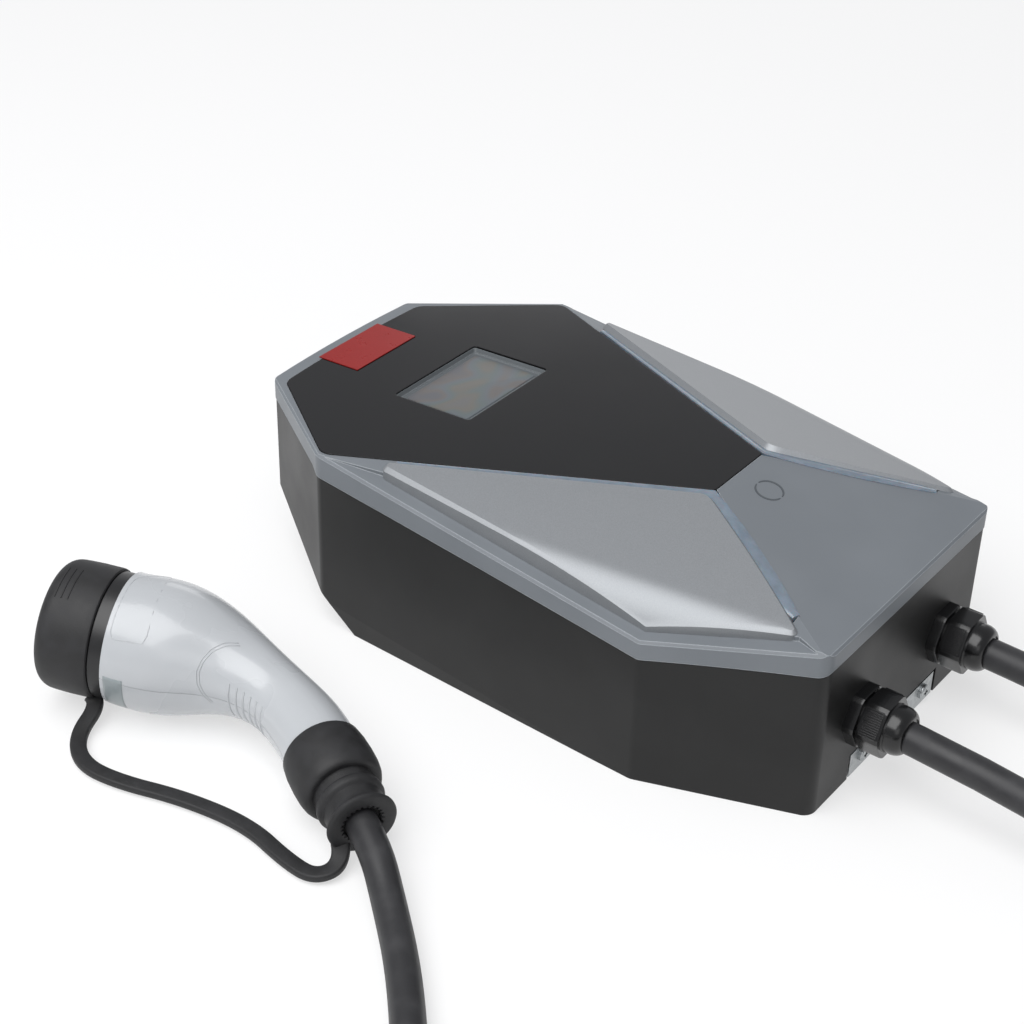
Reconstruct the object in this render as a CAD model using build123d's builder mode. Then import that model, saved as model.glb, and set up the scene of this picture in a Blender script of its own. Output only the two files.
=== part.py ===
from build123d import *
from math import cos, radians, sin, tan
import os

os.makedirs("parts", exist_ok=True)

# Housing outline as seen from the front, half widths and positions along the height
end_half = 59.0
shoulder_half = 109.6
waist_half = 114.0
foot_half = 82.5
end_pos = 185.0
shoulder_pos = 108.6
waist_pos = -99.2
foot_pos = -185.0
end_bow = 2.2
corner_round = 8.0

# Front surface heights above the wall
end_height = 103.2
shoulder_height = 107.7
apex_height = 118.6
waist_height = 85.4
foot_height = 97.7
crease_foot_half = 85.5
fold_round = 160.0
apex_half = 22.8
apex_pos = -81.7
cover_band = 10.6
seal_thick = 0.8
seal_set_back = 1.0
seal_wide = 1.4

# Walls
cover_wall = 3.0
cover_roof = 6.0
tub_wall = 3.5
tub_set_in = 0.4
rim_bevel = 1.2

# Chamfers on the back
back_crease_waist = 2.0
back_crease_shoulder = 19.5
back_crease_end = 36.5
back_edge_half = 108.4
back_edge_pos = 86.0
back_flat_end = 118.0

# Front panel, display and badge
panel_end_half = 57.8
panel_end_pos = 176.6
panel_shoulder_half = 107.4
panel_shoulder_pos = 106.7
panel_leg_half = 22.4
panel_leg_pos = -81.4
panel_thick = 3.0
panel_pocket = 2.6
panel_gap = 0.3
panel_round = 9.0
panel_foot_round = 2.0
panel_proud = 0.4
window_half_width = 35.8
window_low = 65.2
window_high = 117.1
window_round = 2.5
window_depth = 5.0
glass_thick = 1.6
frame_wide = 4.0
module_margin = 5.0
module_deep = 6.0
badge_half_width = 25.5
badge_low = 152.4
badge_high = 180.9
badge_thick = 0.5

# Wings and light guides
wing_tip_half = 102.6
wing_tip_pos = 70.0
wing_waist_half = 106.8
wing_waist_pos = -98.4
wing_foot_half = 81.5
wing_foot_pos = -167.0
wing_tip_rise = 4.2
wing_bend_rise = 3.8
wing_foot_rise = 2.0
wing_thick = 2.0
wing_skirt = 1.6
wing_drop = 10.0
wing_drop_start = 80.0
wing_drop_steps = 5
wing_chamfer = 2.4
wing_round = 4.0
wing_tip_round = 2.2
parallel_share = 0.9999
ledge_rise = 2.0
guide_start_pos = 68.6
guide_end_pos = -159.4
guide_inner = 0.15
guide_outer = 4.9
groove_inner = -1.2
wing_away = 5.2
guide_rise = 0.8
guide_seat = 2.0
guide_gap = 0.25

# Ring emblem on the lower facet
emblem_pos = -102.4
emblem_radius = 5.6
emblem_wide = 1.5
emblem_rise = 0.5
emblem_gap_turn = 42.0

# Wall bracket and its screws
bracket_half = 62.0
bracket_low = -180.6
bracket_high = 92.0
bracket_thick = 2.0
bracket_gap = 0.4
flange_half = 44.0
flange_high = 14.0
notch_half = 46.0
notch_high = 15.5
notch_deep = 2.6
notch_back = 7.0
bracket_screw_half = 32.0
bracket_screw_high = 8.4
pan_head_radius = 4.2
pan_head_high = 2.6
screw_radius = 2.0
screw_long = 9.0
recess_wide = 1.1
wall_hole_radius = 3.25
wall_hole_half = 45.0
wall_hole_high = 60.0
wall_hole_low = -60.0
head_pocket_radius = 8.0
head_pocket_deep = 5.5
pocket_wall = 2.5

# Glands
gland_half = 43.0
gland_high = 41.0
gland_hole_radius = 12.7
gland_thread_radius = 12.4
gland_flange_apothem = 15.0
gland_flange_long = 5.5
gland_space = 1.5
gland_nut_apothem = 15.0
gland_nut_long = 12.0
gland_dome_long = 9.5
gland_dome_radius = 11.2
gland_inside_long = 12.0
gland_locknut_long = 5.0
gland_bore_radius = 9.4
gland_nut_bore = 8.6
seal_start_share = 0.7
seal_end_share = 0.45
dome_round_share = 0.45
knurl_radius = 0.45
knurl_count = 7
knurl_pitch = 1.9

# Cords
cord_radius = 8.25
cord_seal_radius = 8.26
cord_inside_pos = -136.0
cord_bend_share = 0.45
coil_x = -300.0
coil_y = -390.0
coil_inner = 57.0
coil_outer = 123.0
coil_low = 1.7
coil_high = 34.7
coil_round = 7.0
tie_turns = [0, 100, 220]
tie_thick = 1.5
tie_wide = 20.0
tie_gap = 1.3
core_radius = 2.0
core_ring_radius = 4.2
core_run = 20.0
core_fan = 50.0
core_spread = 15.0
ferrule_radius = 1.4
ferrule_long = 12.0
core_drop_share = 0.3

# Inside of the housing
cover_screw_spots = [(82.0, 8.0), (68.0, -126.0)]
post_radius = 5.0
post_hole_radius = 2.0
cover_screw_radius = 1.9
cover_screw_long = 16.0
cover_hole_radius = 2.2
cover_screw_head = 3.2
cover_head_high = 1.8
cover_head_deep = 3.4
board_half_width = 70.0
board_low = -60.0
board_high = 100.0
board_level = 24.0
board_thick = 1.6
standoff_radius = 3.5
block_gap = 0.3
relay_wide = 30.0
relay_long = 32.0
relay_high = 38.0
relay_pitch = 36.0
supply_block_wide = 50.0
supply_block_long = 70.0
supply_block_high = 24.0
terminal_wide = 80.0
terminal_long = 22.0
terminal_high = 26.0
terminal_pos = -115.0
terminal_pitch = 15.0
terminal_hole_radius = 3.0
sensor_outer = 17.0
sensor_inner = 10.6
sensor_long = 12.0
sensor_pos = -150.0
light_board_wide = 4.0
light_board_deep = 1.2

# Connector lying on its side, its axis in a plane that sinks towards the cable
plug_x = -219.9
plug_y = 143.6
plug_high = 36.8
plug_heading = 23.0
plug_sink = 5.2
plug_corner_far = 81.9
plug_turn = 50.0
plug_arc_radius = 118.0
plug_tail_far = 110.5
shell_shares = [0, 0.115, 0.2, 0.28, 0.37, 0.5, 0.62, 0.735]
shell_radii = [34.3, 35.0, 32.6, 27.8, 22.2, 18.3, 18.6, 19.2]
shell_wall = 2.6
shell_seam = 0.12
collar_long = 7.2
collar_radius = 33.0
nose_radius = 29.5
nose_wall = 2.2
nose_long = 27.0
carrier_radius = 25.5
carrier_long = 20.0
contact_ring_radius = 14.0
contact_radius = 4.6
contact_bore_radius = 3.0
contact_long = 15.0
cap_radius = 34.3
cap_gap = 0.5
cap_wall = 2.4
cap_long = 30.0
cap_round = 6.0
grip_deep = 0.7
grip_wide = 1.2
grip_pitch = 4.6
boot_shares = [0.735, 0.77, 0.86, 0.905, 0.95, 1]
boot_radii = [19.9, 21.3, 21.3, 18.6, 18.6, 17.0]
strap_ring_radius = 17.6
strap_ring_thick = 3.0
strap_wide = 7.0
strap_thick = 4.0
strap_level = 3.2


def half_space(a, b, c):
    normal = (b - a).cross(c - a).normalized()
    if normal.Z < 0:
        normal = normal * -1
    return Plane(origin=a, z_dir=normal)


apex_left = Vector(-apex_half, apex_pos, apex_height)
apex_right = Vector(apex_half, apex_pos, apex_height)
end_left = Vector(-end_half, end_pos, end_height)
end_right = Vector(end_half, end_pos, end_height)
shoulder_left = Vector(-shoulder_half, shoulder_pos, shoulder_height)
shoulder_right = Vector(shoulder_half, shoulder_pos, shoulder_height)
waist_left = Vector(-waist_half, waist_pos, waist_height)
waist_right = Vector(waist_half, waist_pos, waist_height)
foot_left = Vector(-crease_foot_half, foot_pos, foot_height)
foot_right = Vector(crease_foot_half, foot_pos, foot_height)

panel_plane = half_space(end_left, end_right, apex_left)
kite_plane = half_space(apex_left, apex_right, foot_left)
left_inner = half_space(shoulder_left, apex_left, foot_left)
left_outer = half_space(shoulder_left, foot_left, waist_left)
wing_tip = Vector(-wing_tip_half, wing_tip_pos)
wing_waist = Vector(-wing_waist_half, wing_waist_pos)
wing_foot = Vector(-wing_foot_half, wing_foot_pos)
right_inner = half_space(shoulder_right, apex_right, foot_right)

back_shoulder_left = Vector(-shoulder_half, shoulder_pos, back_crease_shoulder)
back_waist_left = Vector(-waist_half, waist_pos, back_crease_waist)
back_edge_left = Vector(-back_edge_half, back_edge_pos, 0)
back_end_left = Vector(-end_half, end_pos, back_crease_end)
back_end_right = Vector(end_half, end_pos, back_crease_end)
back_flat_middle = Vector(0, back_flat_end, 0)


def mirrored(point):
    return Vector(-point.X, point.Y, point.Z)


back_facets = [
    half_space(back_shoulder_left, back_waist_left, back_edge_left),
    half_space(mirrored(back_shoulder_left), mirrored(back_waist_left), mirrored(back_edge_left)),
    half_space(back_end_left, back_shoulder_left, back_edge_left),
    half_space(back_end_right, mirrored(back_shoulder_left), mirrored(back_edge_left)),
    half_space(back_end_left, back_end_right, back_flat_middle),
]


def inward(start, finish):
    along = Vector(finish.X - start.X, finish.Y - start.Y).normalized()
    return Vector(-along.Y, along.X)


def ledge_plane(start, finish):
    inner = start + inward(start, finish) * cover_band + Vector(0, 0, ledge_rise)
    return half_space(start, finish, inner)


def facet_level(plane, x, y):
    n = plane.z_dir
    o = plane.origin
    return o.Z - (n.X * (x - o.X) + n.Y * (y - o.Y)) / n.Z


def shifted(plane, rise):
    return Plane(origin=plane.origin + Vector(0, 0, rise), z_dir=plane.z_dir)


def outline(outset):
    with BuildLine() as border:
        Polyline(
            (-end_half, end_pos),
            (-shoulder_half, shoulder_pos),
            (-waist_half, waist_pos),
            (-foot_half, foot_pos),
            (foot_half, foot_pos),
            (waist_half, waist_pos),
            (shoulder_half, shoulder_pos),
            (end_half, end_pos),
        )
        ThreePointArc((end_half, end_pos), (0, end_pos + end_bow), (-end_half, end_pos))
    make_face(border.edges())
    if outset != 0:
        offset(amount=outset, kind=Kind.INTERSECTION)
    fillet(vertices(), corner_round + outset)


def along_fold(edge):
    fold_way = (foot_left - shoulder_left).normalized()
    return abs((edge % 0.5).dot(fold_way)) > parallel_share


# Crowned side surfaces, each a block under two facets with a rounded fold
with BuildPart() as left_crown:
    Box(4 * waist_half, 4 * end_pos, 4 * apex_height)
    split(bisect_by=left_inner, keep=Keep.BOTTOM)
    split(bisect_by=left_outer, keep=Keep.BOTTOM)
    fold = edges().filter_by(along_fold)
    fillet(fold.sort_by_distance((shoulder_left + foot_left) / 2)[0], fold_round)

right_crown = left_crown.part.mirror(Plane.YZ)


def trim_front(rise):
    split(bisect_by=shifted(panel_plane, rise), keep=Keep.BOTTOM)
    split(bisect_by=shifted(kite_plane, rise), keep=Keep.BOTTOM)
    add(left_crown.part.moved(Location((0, 0, rise))), mode=Mode.INTERSECT)
    add(right_crown.moved(Location((0, 0, rise))), mode=Mode.INTERSECT)


left_ledges = [ledge_plane(shoulder_left, waist_left), ledge_plane(waist_left, foot_left)]


def mirrored_plane(plane):
    return Plane(origin=mirrored(plane.origin), z_dir=(-plane.z_dir.X, plane.z_dir.Y, plane.z_dir.Z))


def step_line(inset):
    waist_way = inward(wing_tip, wing_waist) + inward(wing_waist, wing_foot)
    waist_share = inset / waist_way.dot(inward(wing_tip, wing_waist))
    return [
        wing_tip + inward(wing_tip, wing_waist) * inset,
        wing_waist + waist_way * waist_share,
        wing_foot + inward(wing_waist, wing_foot) * inset,
    ]


def side_level(x, y):
    return min(facet_level(left_inner, -abs(x), y), facet_level(left_outer, -abs(x), y))


def trim_back(rise):
    for facet in back_facets:
        split(bisect_by=shifted(facet, rise), keep=Keep.TOP)


def bevel(start, finish, facet, rise, wide):
    along = Vector(finish[0] - start[0], finish[1] - start[1]).normalized()
    slant = Vector(along.Y, -along.X) + facet.z_dir
    edge_point = Vector(start[0], start[1], facet_level(facet, start[0], start[1]) + rise)
    depth = wide * (1 - (slant.length / 2) ** 2) ** 0.5
    split(bisect_by=Plane(origin=edge_point - slant.normalized() * depth, z_dir=slant), keep=Keep.BOTTOM)


def polygon_face(points):
    with BuildLine() as border:
        Polyline(*points, close=True)
    make_face(border.edges())


def save(part, name):
    part.label = name
    export_step(part, "parts/" + name + ".step")
    print(name, round(part.volume), "mm3", len(part.solids()), "solids")


# Ledge round each wing, and the raised top that falls away at the waist
def ledge_face(inset):
    inner = [(spot.X, spot.Y) for spot in step_line(inset)]
    polygon_face(
        [(-shoulder_half, shoulder_pos)]
        + inner
        + [(-crease_foot_half, foot_pos), (-2 * waist_half, foot_pos), (-2 * waist_half, shoulder_pos)]
    )


with BuildPart() as ledge_form:
    with BuildSketch(Plane.XY):
        ledge_face(wing_skirt)
    extrude(amount=2 * apex_height)
    for plane in left_ledges:
        split(bisect_by=plane, keep=Keep.TOP)

with BuildPart() as ledge_under:
    with BuildSketch(Plane.XY):
        ledge_face(wing_skirt + cover_wall)
    extrude(amount=2 * apex_height)
    for plane in left_ledges:
        split(bisect_by=shifted(plane, -cover_wall), keep=Keep.TOP)


def raised(spot, rise):
    return Vector(spot.X, spot.Y, facet_level(left_inner, spot.X, spot.Y) + rise)


wing_plane = half_space(
    raised(wing_tip, wing_tip_rise), raised(apex_left, wing_bend_rise), raised(wing_foot, wing_foot_rise)
)
drop_start = wing_waist + (wing_tip - wing_waist).normalized() * wing_drop_start
drop_way = inward(drop_start, wing_foot) * -1
drop_reach = (wing_waist - wing_foot).dot(drop_way)


def drop_point(share):
    spot = wing_foot + drop_way * (drop_reach * share)
    return Vector(spot.X, spot.Y, facet_level(wing_plane, spot.X, spot.Y) - wing_drop * share**2)


def beside_drop(share):
    spot = drop_start + drop_way * (drop_reach * share)
    return Vector(spot.X, spot.Y, facet_level(wing_plane, spot.X, spot.Y) - wing_drop * share**2)


wing_facets = [wing_plane]
for count in range(wing_drop_steps):
    near_share = count / wing_drop_steps
    far_share = (count + 1) / wing_drop_steps
    wing_facets.append(half_space(drop_point(near_share), beside_drop(near_share), drop_point(far_share)))

with BuildPart() as wing_core_below:
    Box(4 * waist_half, 4 * end_pos, 4 * apex_height)
    for plane in wing_facets:
        split(bisect_by=shifted(plane, -wing_thick), keep=Keep.BOTTOM)

with BuildPart() as wing_seat_form:
    with BuildSketch(Plane.XY):
        seat = step_line(wing_skirt)
        polygon_face([(spot.X, spot.Y) for spot in seat] + [(-apex_half, seat[2].Y), (-apex_half, apex_pos)])
    extrude(amount=2 * apex_height)
    add(wing_core_below.part, mode=Mode.SUBTRACT)

# Rear tub
with BuildPart() as tub_hollow:
    with BuildSketch(Plane.XY.offset(tub_wall)):
        outline(-tub_set_in - tub_wall)
    extrude(amount=apex_height)
    trim_back(tub_wall)

with BuildPart() as tub_bosses:
    for x in (-wall_hole_half, wall_hole_half):
        for y in (wall_hole_low, wall_hole_high):
            with BuildSketch(Plane.XY.offset(bracket_thick + bracket_gap)):
                with Locations((x, y)):
                    Circle(head_pocket_radius + pocket_wall)
            extrude(amount=head_pocket_deep + pocket_wall)
    for x in (-board_half_width + block_gap + standoff_radius, board_half_width - block_gap - standoff_radius):
        for y in (board_low + standoff_radius, board_high - standoff_radius):
            with BuildSketch(Plane.XY.offset(bracket_thick + bracket_gap)):
                with Locations((x, y)):
                    Circle(standoff_radius)
            extrude(amount=board_level - bracket_thick - bracket_gap)
    with BuildSketch(Plane.XY.offset(bracket_thick + bracket_gap)):
        with Locations((0, foot_pos + notch_deep + notch_back / 2)):
            Rectangle(2 * notch_half, notch_back)
    extrude(amount=notch_high)
    with BuildSketch(Plane.XY):
        with Locations((0, (bracket_low + bracket_high) / 2)):
            Rectangle(2 * (bracket_half + pocket_wall), bracket_high - bracket_low + 2 * pocket_wall)
    extrude(amount=bracket_thick + bracket_gap + tub_wall)

with BuildPart() as tub_posts:
    for side in (-1, 1):
        for x, y in cover_screw_spots:
            with BuildSketch(Plane.XY.offset(tub_wall / 2)):
                with Locations((side * x, y)):
                    Circle(post_radius)
            extrude(amount=apex_height)
    trim_front(-cover_roof)
    for side in (-1, 1):
        for x, y in cover_screw_spots:
            with BuildSketch(Plane.XY.offset(side_level(x, y) - 2 * cover_screw_long)):
                with Locations((side * x, y)):
                    Circle(post_hole_radius)
            extrude(amount=3 * cover_screw_long, mode=Mode.SUBTRACT)

with BuildPart() as rear_housing:
    with BuildSketch(Plane.XY):
        outline(-tub_set_in)
    extrude(amount=apex_height)
    add(tub_hollow.part, mode=Mode.SUBTRACT)
    trim_front(-cover_band - seal_thick)
    add(tub_bosses.part)
    add(tub_posts.part)
    trim_back(0)
    with BuildSketch(Plane.XY):
        with Locations((0, (bracket_low + bracket_high) / 2)):
            Rectangle(2 * (bracket_half + bracket_gap), bracket_high - bracket_low + 2 * bracket_gap)
        with Locations((0, foot_pos)):
            Rectangle(2 * notch_half, 4 * notch_deep)
    extrude(amount=bracket_thick + bracket_gap, mode=Mode.SUBTRACT)
    with BuildSketch(Plane.XZ.offset(-foot_pos - notch_deep)):
        with Locations((0, notch_high / 2)):
            Rectangle(2 * notch_half, notch_high)
    extrude(amount=2 * notch_deep, mode=Mode.SUBTRACT)
    for x in (-wall_hole_half, wall_hole_half):
        for y in (wall_hole_low, wall_hole_high):
            with BuildSketch(Plane.XY):
                with Locations((x, y)):
                    Circle(head_pocket_radius)
            extrude(amount=head_pocket_deep, mode=Mode.SUBTRACT)
    for x in (-gland_half, gland_half):
        with BuildSketch(Plane.XZ.offset(-foot_pos - 2 * tub_wall)):
            with Locations((x, gland_high)):
                Circle(gland_hole_radius)
        extrude(amount=4 * tub_wall, mode=Mode.SUBTRACT)
    for x in (-bracket_screw_half, bracket_screw_half):
        with BuildSketch(Plane.XZ.offset(-foot_pos - notch_deep - screw_long)):
            with Locations((x, bracket_screw_high)):
                Circle(screw_radius)
        extrude(amount=2 * screw_long, mode=Mode.SUBTRACT)
save(rear_housing.part, "rear_housing")

# Wall bracket with its flange turned up in the bottom notch
flange_out = foot_pos + notch_deep - bracket_thick
with BuildPart() as wall_bracket:
    with BuildSketch(Plane.XY):
        with Locations((0, (bracket_low + bracket_high) / 2)):
            Rectangle(2 * bracket_half, bracket_high - bracket_low)
        with GridLocations(2 * wall_hole_half, wall_hole_high - wall_hole_low, 2, 2):
            Circle(wall_hole_radius, mode=Mode.SUBTRACT)
    extrude(amount=bracket_thick)
    with BuildSketch(Plane.XY):
        with Locations((0, (bracket_low + flange_out) / 2)):
            Rectangle(2 * flange_half, bracket_low - flange_out)
    extrude(amount=bracket_thick)
    with BuildSketch(Plane.XZ.offset(-foot_pos - notch_deep)):
        with Locations((0, flange_high / 2)):
            Rectangle(2 * flange_half, flange_high)
        with Locations((-bracket_screw_half, bracket_screw_high), (bracket_screw_half, bracket_screw_high)):
            Circle(screw_radius + guide_gap, mode=Mode.SUBTRACT)
    extrude(amount=bracket_thick)
save(wall_bracket.part, "wall_bracket")

with BuildPart() as bracket_screws:
    for x in (-bracket_screw_half, bracket_screw_half):
        with BuildSketch(Plane.XZ.offset(-foot_pos - notch_deep + bracket_thick)):
            with Locations((x, bracket_screw_high)):
                Circle(pan_head_radius)
        extrude(amount=pan_head_high)
    fillet(edges().group_by(Axis.Y)[0], pan_head_high / 2)
    for x in (-bracket_screw_half, bracket_screw_half):
        with BuildSketch(Plane.XZ.offset(-foot_pos - notch_deep + bracket_thick - screw_long)):
            with Locations((x, bracket_screw_high)):
                Circle(screw_radius)
        extrude(amount=screw_long)
        with BuildSketch(Plane.XZ.offset(-foot_pos - notch_deep + bracket_thick + pan_head_high / 3)):
            with Locations((x, bracket_screw_high)):
                Rectangle(pan_head_radius, recess_wide)
                Rectangle(recess_wide, pan_head_radius)
        extrude(amount=pan_head_high, mode=Mode.SUBTRACT)
save(bracket_screws.part, "bracket_screws")

# Seal between tub and cover
with BuildPart() as seal_below:
    with BuildSketch(Plane.XY):
        outline(corner_round)
    extrude(amount=2 * apex_height)
    trim_front(-cover_band - seal_thick)

with BuildPart() as cover_seal:
    with BuildSketch(Plane.XY):
        outline(-seal_set_back)
    extrude(amount=2 * apex_height)
    trim_front(-cover_band)
    with BuildSketch(Plane.XY):
        outline(-seal_set_back - seal_wide)
    extrude(amount=2 * apex_height, mode=Mode.SUBTRACT)
    add(seal_below.part, mode=Mode.SUBTRACT)
save(cover_seal.part, "cover_seal")


def crease_points(away):
    top = Vector(-shoulder_half, shoulder_pos)
    bend = Vector(-apex_half, apex_pos)
    low = Vector(-crease_foot_half, foot_pos)
    first = (bend - top).normalized()
    second = (low - bend).normalized()
    first_side = Vector(first.Y, -first.X)
    second_side = Vector(second.Y, -second.X)
    half_turn = (first_side + second_side).normalized()
    corner = bend + half_turn * (away / half_turn.dot(first_side))
    start = corner - first * ((guide_start_pos - corner.Y) / -first.Y)
    finish = corner + second * ((corner.Y - guide_end_pos) / -second.Y)
    return [(p.X, p.Y) for p in (start, corner, finish)]


# Front cover
front_plane = Plane(
    origin=(0, 0, facet_level(panel_plane, 0, 0)), x_dir=(1, 0, 0), z_dir=panel_plane.z_dir
)
kite_face = Plane(
    origin=(0, emblem_pos, facet_level(kite_plane, 0, emblem_pos)), x_dir=(1, 0, 0), z_dir=kite_plane.z_dir
)
panel_corners = [
    (-panel_end_half, panel_end_pos),
    (-panel_shoulder_half, panel_shoulder_pos),
    (-panel_leg_half, panel_leg_pos),
    (panel_leg_half, panel_leg_pos),
    (panel_shoulder_half, panel_shoulder_pos),
    (panel_end_half, panel_end_pos),
]


def panel_outline(outset):
    with BuildLine() as border:
        Polyline(*panel_corners)
        ThreePointArc(panel_corners[-1], (0, panel_end_pos + end_bow), panel_corners[0])
    make_face(border.edges())
    if outset != 0:
        offset(amount=outset, kind=Kind.INTERSECTION)
    corners = vertices().sort_by(Axis.Y)
    fillet(corners[2:], panel_round + outset)
    low = vertices().group_by(Axis.Y)[0]
    fillet(low, panel_foot_round + outset)


with BuildPart() as cover_hollow:
    with BuildSketch(Plane.XY):
        outline(-cover_wall)
    extrude(amount=2 * apex_height)
    trim_front(-cover_roof)
    add(ledge_under.part, mode=Mode.SUBTRACT)
    add(ledge_under.part.mirror(Plane.YZ), mode=Mode.SUBTRACT)

with BuildPart() as cover_below:
    with BuildSketch(Plane.XY):
        outline(corner_round)
    extrude(amount=2 * apex_height)
    trim_front(-cover_band)

with BuildPart() as panel_pocket_form:
    with BuildSketch(Plane.XY):
        panel_outline(panel_gap)
    extrude(amount=2 * apex_height)
    split(bisect_by=shifted(panel_plane, -panel_pocket), keep=Keep.TOP)

with BuildPart() as guide_floor:
    with BuildSketch(Plane.XY):
        outline(corner_round)
    extrude(amount=2 * apex_height)
    trim_front(-guide_seat)

with BuildPart() as groove_form:
    with BuildSketch(Plane.XY):
        polygon_face(crease_points(groove_inner) + crease_points(guide_outer + guide_gap)[::-1])
        mirror(about=Plane.YZ)
    extrude(amount=2 * apex_height)
    add(guide_floor.part, mode=Mode.SUBTRACT)

with BuildPart() as cover_block:
    with BuildSketch(Plane.XY):
        outline(0)
    extrude(amount=2 * apex_height)
    for plane in (panel_plane, kite_plane, left_inner, right_inner):
        split(bisect_by=plane, keep=Keep.BOTTOM)
    for form in (ledge_form.part, wing_seat_form.part):
        add(form, mode=Mode.SUBTRACT)
        add(form.mirror(Plane.YZ), mode=Mode.SUBTRACT)

with BuildPart() as front_cover:
    add(cover_block.part)
    for side in (-1, 1):
        corners = [
            (side * end_half, end_pos),
            (side * shoulder_half, shoulder_pos),
            (side * waist_half, waist_pos),
            (side * foot_half, foot_pos),
        ]
        ledges = left_ledges if side < 0 else [mirrored_plane(plane) for plane in left_ledges]
        beside = [panel_plane] + ledges
        for start, finish, facet in zip(corners[:-1], corners[1:], beside):
            if side < 0:
                bevel(start, finish, facet, 0, rim_bevel)
            else:
                bevel(finish, start, facet, 0, rim_bevel)
    bevel((-foot_half, foot_pos), (foot_half, foot_pos), kite_plane, 0, rim_bevel)
    add(cover_hollow.part, mode=Mode.SUBTRACT)
    add(cover_below.part, mode=Mode.SUBTRACT)
    add(panel_pocket_form.part, mode=Mode.SUBTRACT)
    add(groove_form.part, mode=Mode.SUBTRACT)
    with BuildSketch(front_plane.offset(-2 * cover_roof)):
        with Locations((0, (window_low + window_high) / 2)):
            RectangleRounded(2 * window_half_width, window_high - window_low, window_round)
    extrude(amount=3 * cover_roof, mode=Mode.SUBTRACT)
    for side in (-1, 1):
        for x, y in cover_screw_spots:
            level = side_level(x, y)
            with BuildSketch(Plane.XY.offset(level - 2 * cover_roof)):
                with Locations((side * x, y)):
                    Circle(cover_hole_radius)
            extrude(amount=3 * cover_roof, mode=Mode.SUBTRACT)
            with BuildSketch(Plane.XY.offset(level - cover_head_deep)):
                with Locations((side * x, y)):
                    Circle(cover_screw_head + panel_gap)
            extrude(amount=3 * cover_roof, mode=Mode.SUBTRACT)
save(front_cover.part, "front_cover")

with BuildPart() as cover_screws:
    for side in (-1, 1):
        for x, y in cover_screw_spots:
            level = side_level(x, y)
            with BuildSketch(Plane.XY.offset(level - cover_head_deep)):
                with Locations((side * x, y)):
                    Circle(cover_screw_head)
            extrude(amount=cover_head_high)
            with BuildSketch(Plane.XY.offset(level - cover_head_deep - cover_screw_long)):
                with Locations((side * x, y)):
                    Circle(cover_screw_radius)
            extrude(amount=cover_screw_long)
save(cover_screws.part, "cover_screws")

# Ring emblem of two arcs
with BuildPart() as ring_emblem:
    with BuildSketch(kite_face):
        for turn in (0, 180):
            with BuildLine():
                outer_arc = CenterArc(
                    (0, 0), emblem_radius + emblem_wide / 2, turn + emblem_gap_turn / 2, 180 - emblem_gap_turn
                )
                inner_arc = CenterArc(
                    (0, 0), emblem_radius - emblem_wide / 2, turn + emblem_gap_turn / 2, 180 - emblem_gap_turn
                )
                Line(outer_arc @ 0, inner_arc @ 0)
                Line(outer_arc @ 1, inner_arc @ 1)
            make_face()
    extrude(amount=emblem_rise)
save(ring_emblem.part, "ring_emblem")

# Gloss panel with the display window
with BuildPart() as front_panel:
    with BuildSketch(Plane.XY):
        panel_outline(0)
    extrude(amount=2 * apex_height)
    split(bisect_by=shifted(panel_plane, -panel_pocket), keep=Keep.TOP)
    split(bisect_by=shifted(panel_plane, panel_proud), keep=Keep.BOTTOM)
    with BuildSketch(front_plane.offset(-2 * cover_roof)):
        with Locations((0, (window_low + window_high) / 2)):
            RectangleRounded(2 * window_half_width, window_high - window_low, window_round)
    extrude(amount=3 * cover_roof, mode=Mode.SUBTRACT)
save(front_panel.part, "front_panel")

with BuildPart() as display_glass:
    with BuildSketch(front_plane.offset(-window_depth - glass_thick)):
        with Locations((0, (window_low + window_high) / 2)):
            RectangleRounded(
                2 * (window_half_width - panel_gap), window_high - window_low - 2 * panel_gap, window_round
            )
    extrude(amount=glass_thick)
save(display_glass.part, "display_glass")

with BuildPart() as display_frame:
    with BuildSketch(front_plane.offset(-window_depth)):
        with Locations((0, (window_low + window_high) / 2)):
            RectangleRounded(
                2 * (window_half_width - panel_gap), window_high - window_low - 2 * panel_gap, window_round
            )
            Rectangle(
                2 * (window_half_width - frame_wide),
                window_high - window_low - 2 * frame_wide,
                mode=Mode.SUBTRACT,
            )
    extrude(amount=emblem_rise)
save(display_frame.part, "display_frame")

with BuildPart() as display_module:
    with BuildSketch(front_plane.offset(-window_depth - glass_thick - module_deep)):
        with Locations((0, (window_low + window_high) / 2)):
            Rectangle(2 * (window_half_width + module_margin), window_high - window_low + 2 * module_margin)
    extrude(amount=module_deep)
save(display_module.part, "display_module")

with BuildPart() as badge_plate:
    with BuildSketch(front_plane.offset(panel_proud)):
        with Locations((0, (badge_low + badge_high) / 2)):
            Rectangle(2 * badge_half_width, badge_high - badge_low)
    extrude(amount=badge_thick)
save(badge_plate.part, "badge_plate")

# Wings and light guides
wing_edge = crease_points(wing_away)
wing_corners = [
    (-wing_tip_half, wing_tip_pos),
    (-wing_waist_half, wing_waist_pos),
    (-wing_foot_half, wing_foot_pos),
    wing_edge[1],
    wing_edge[0],
]

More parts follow.
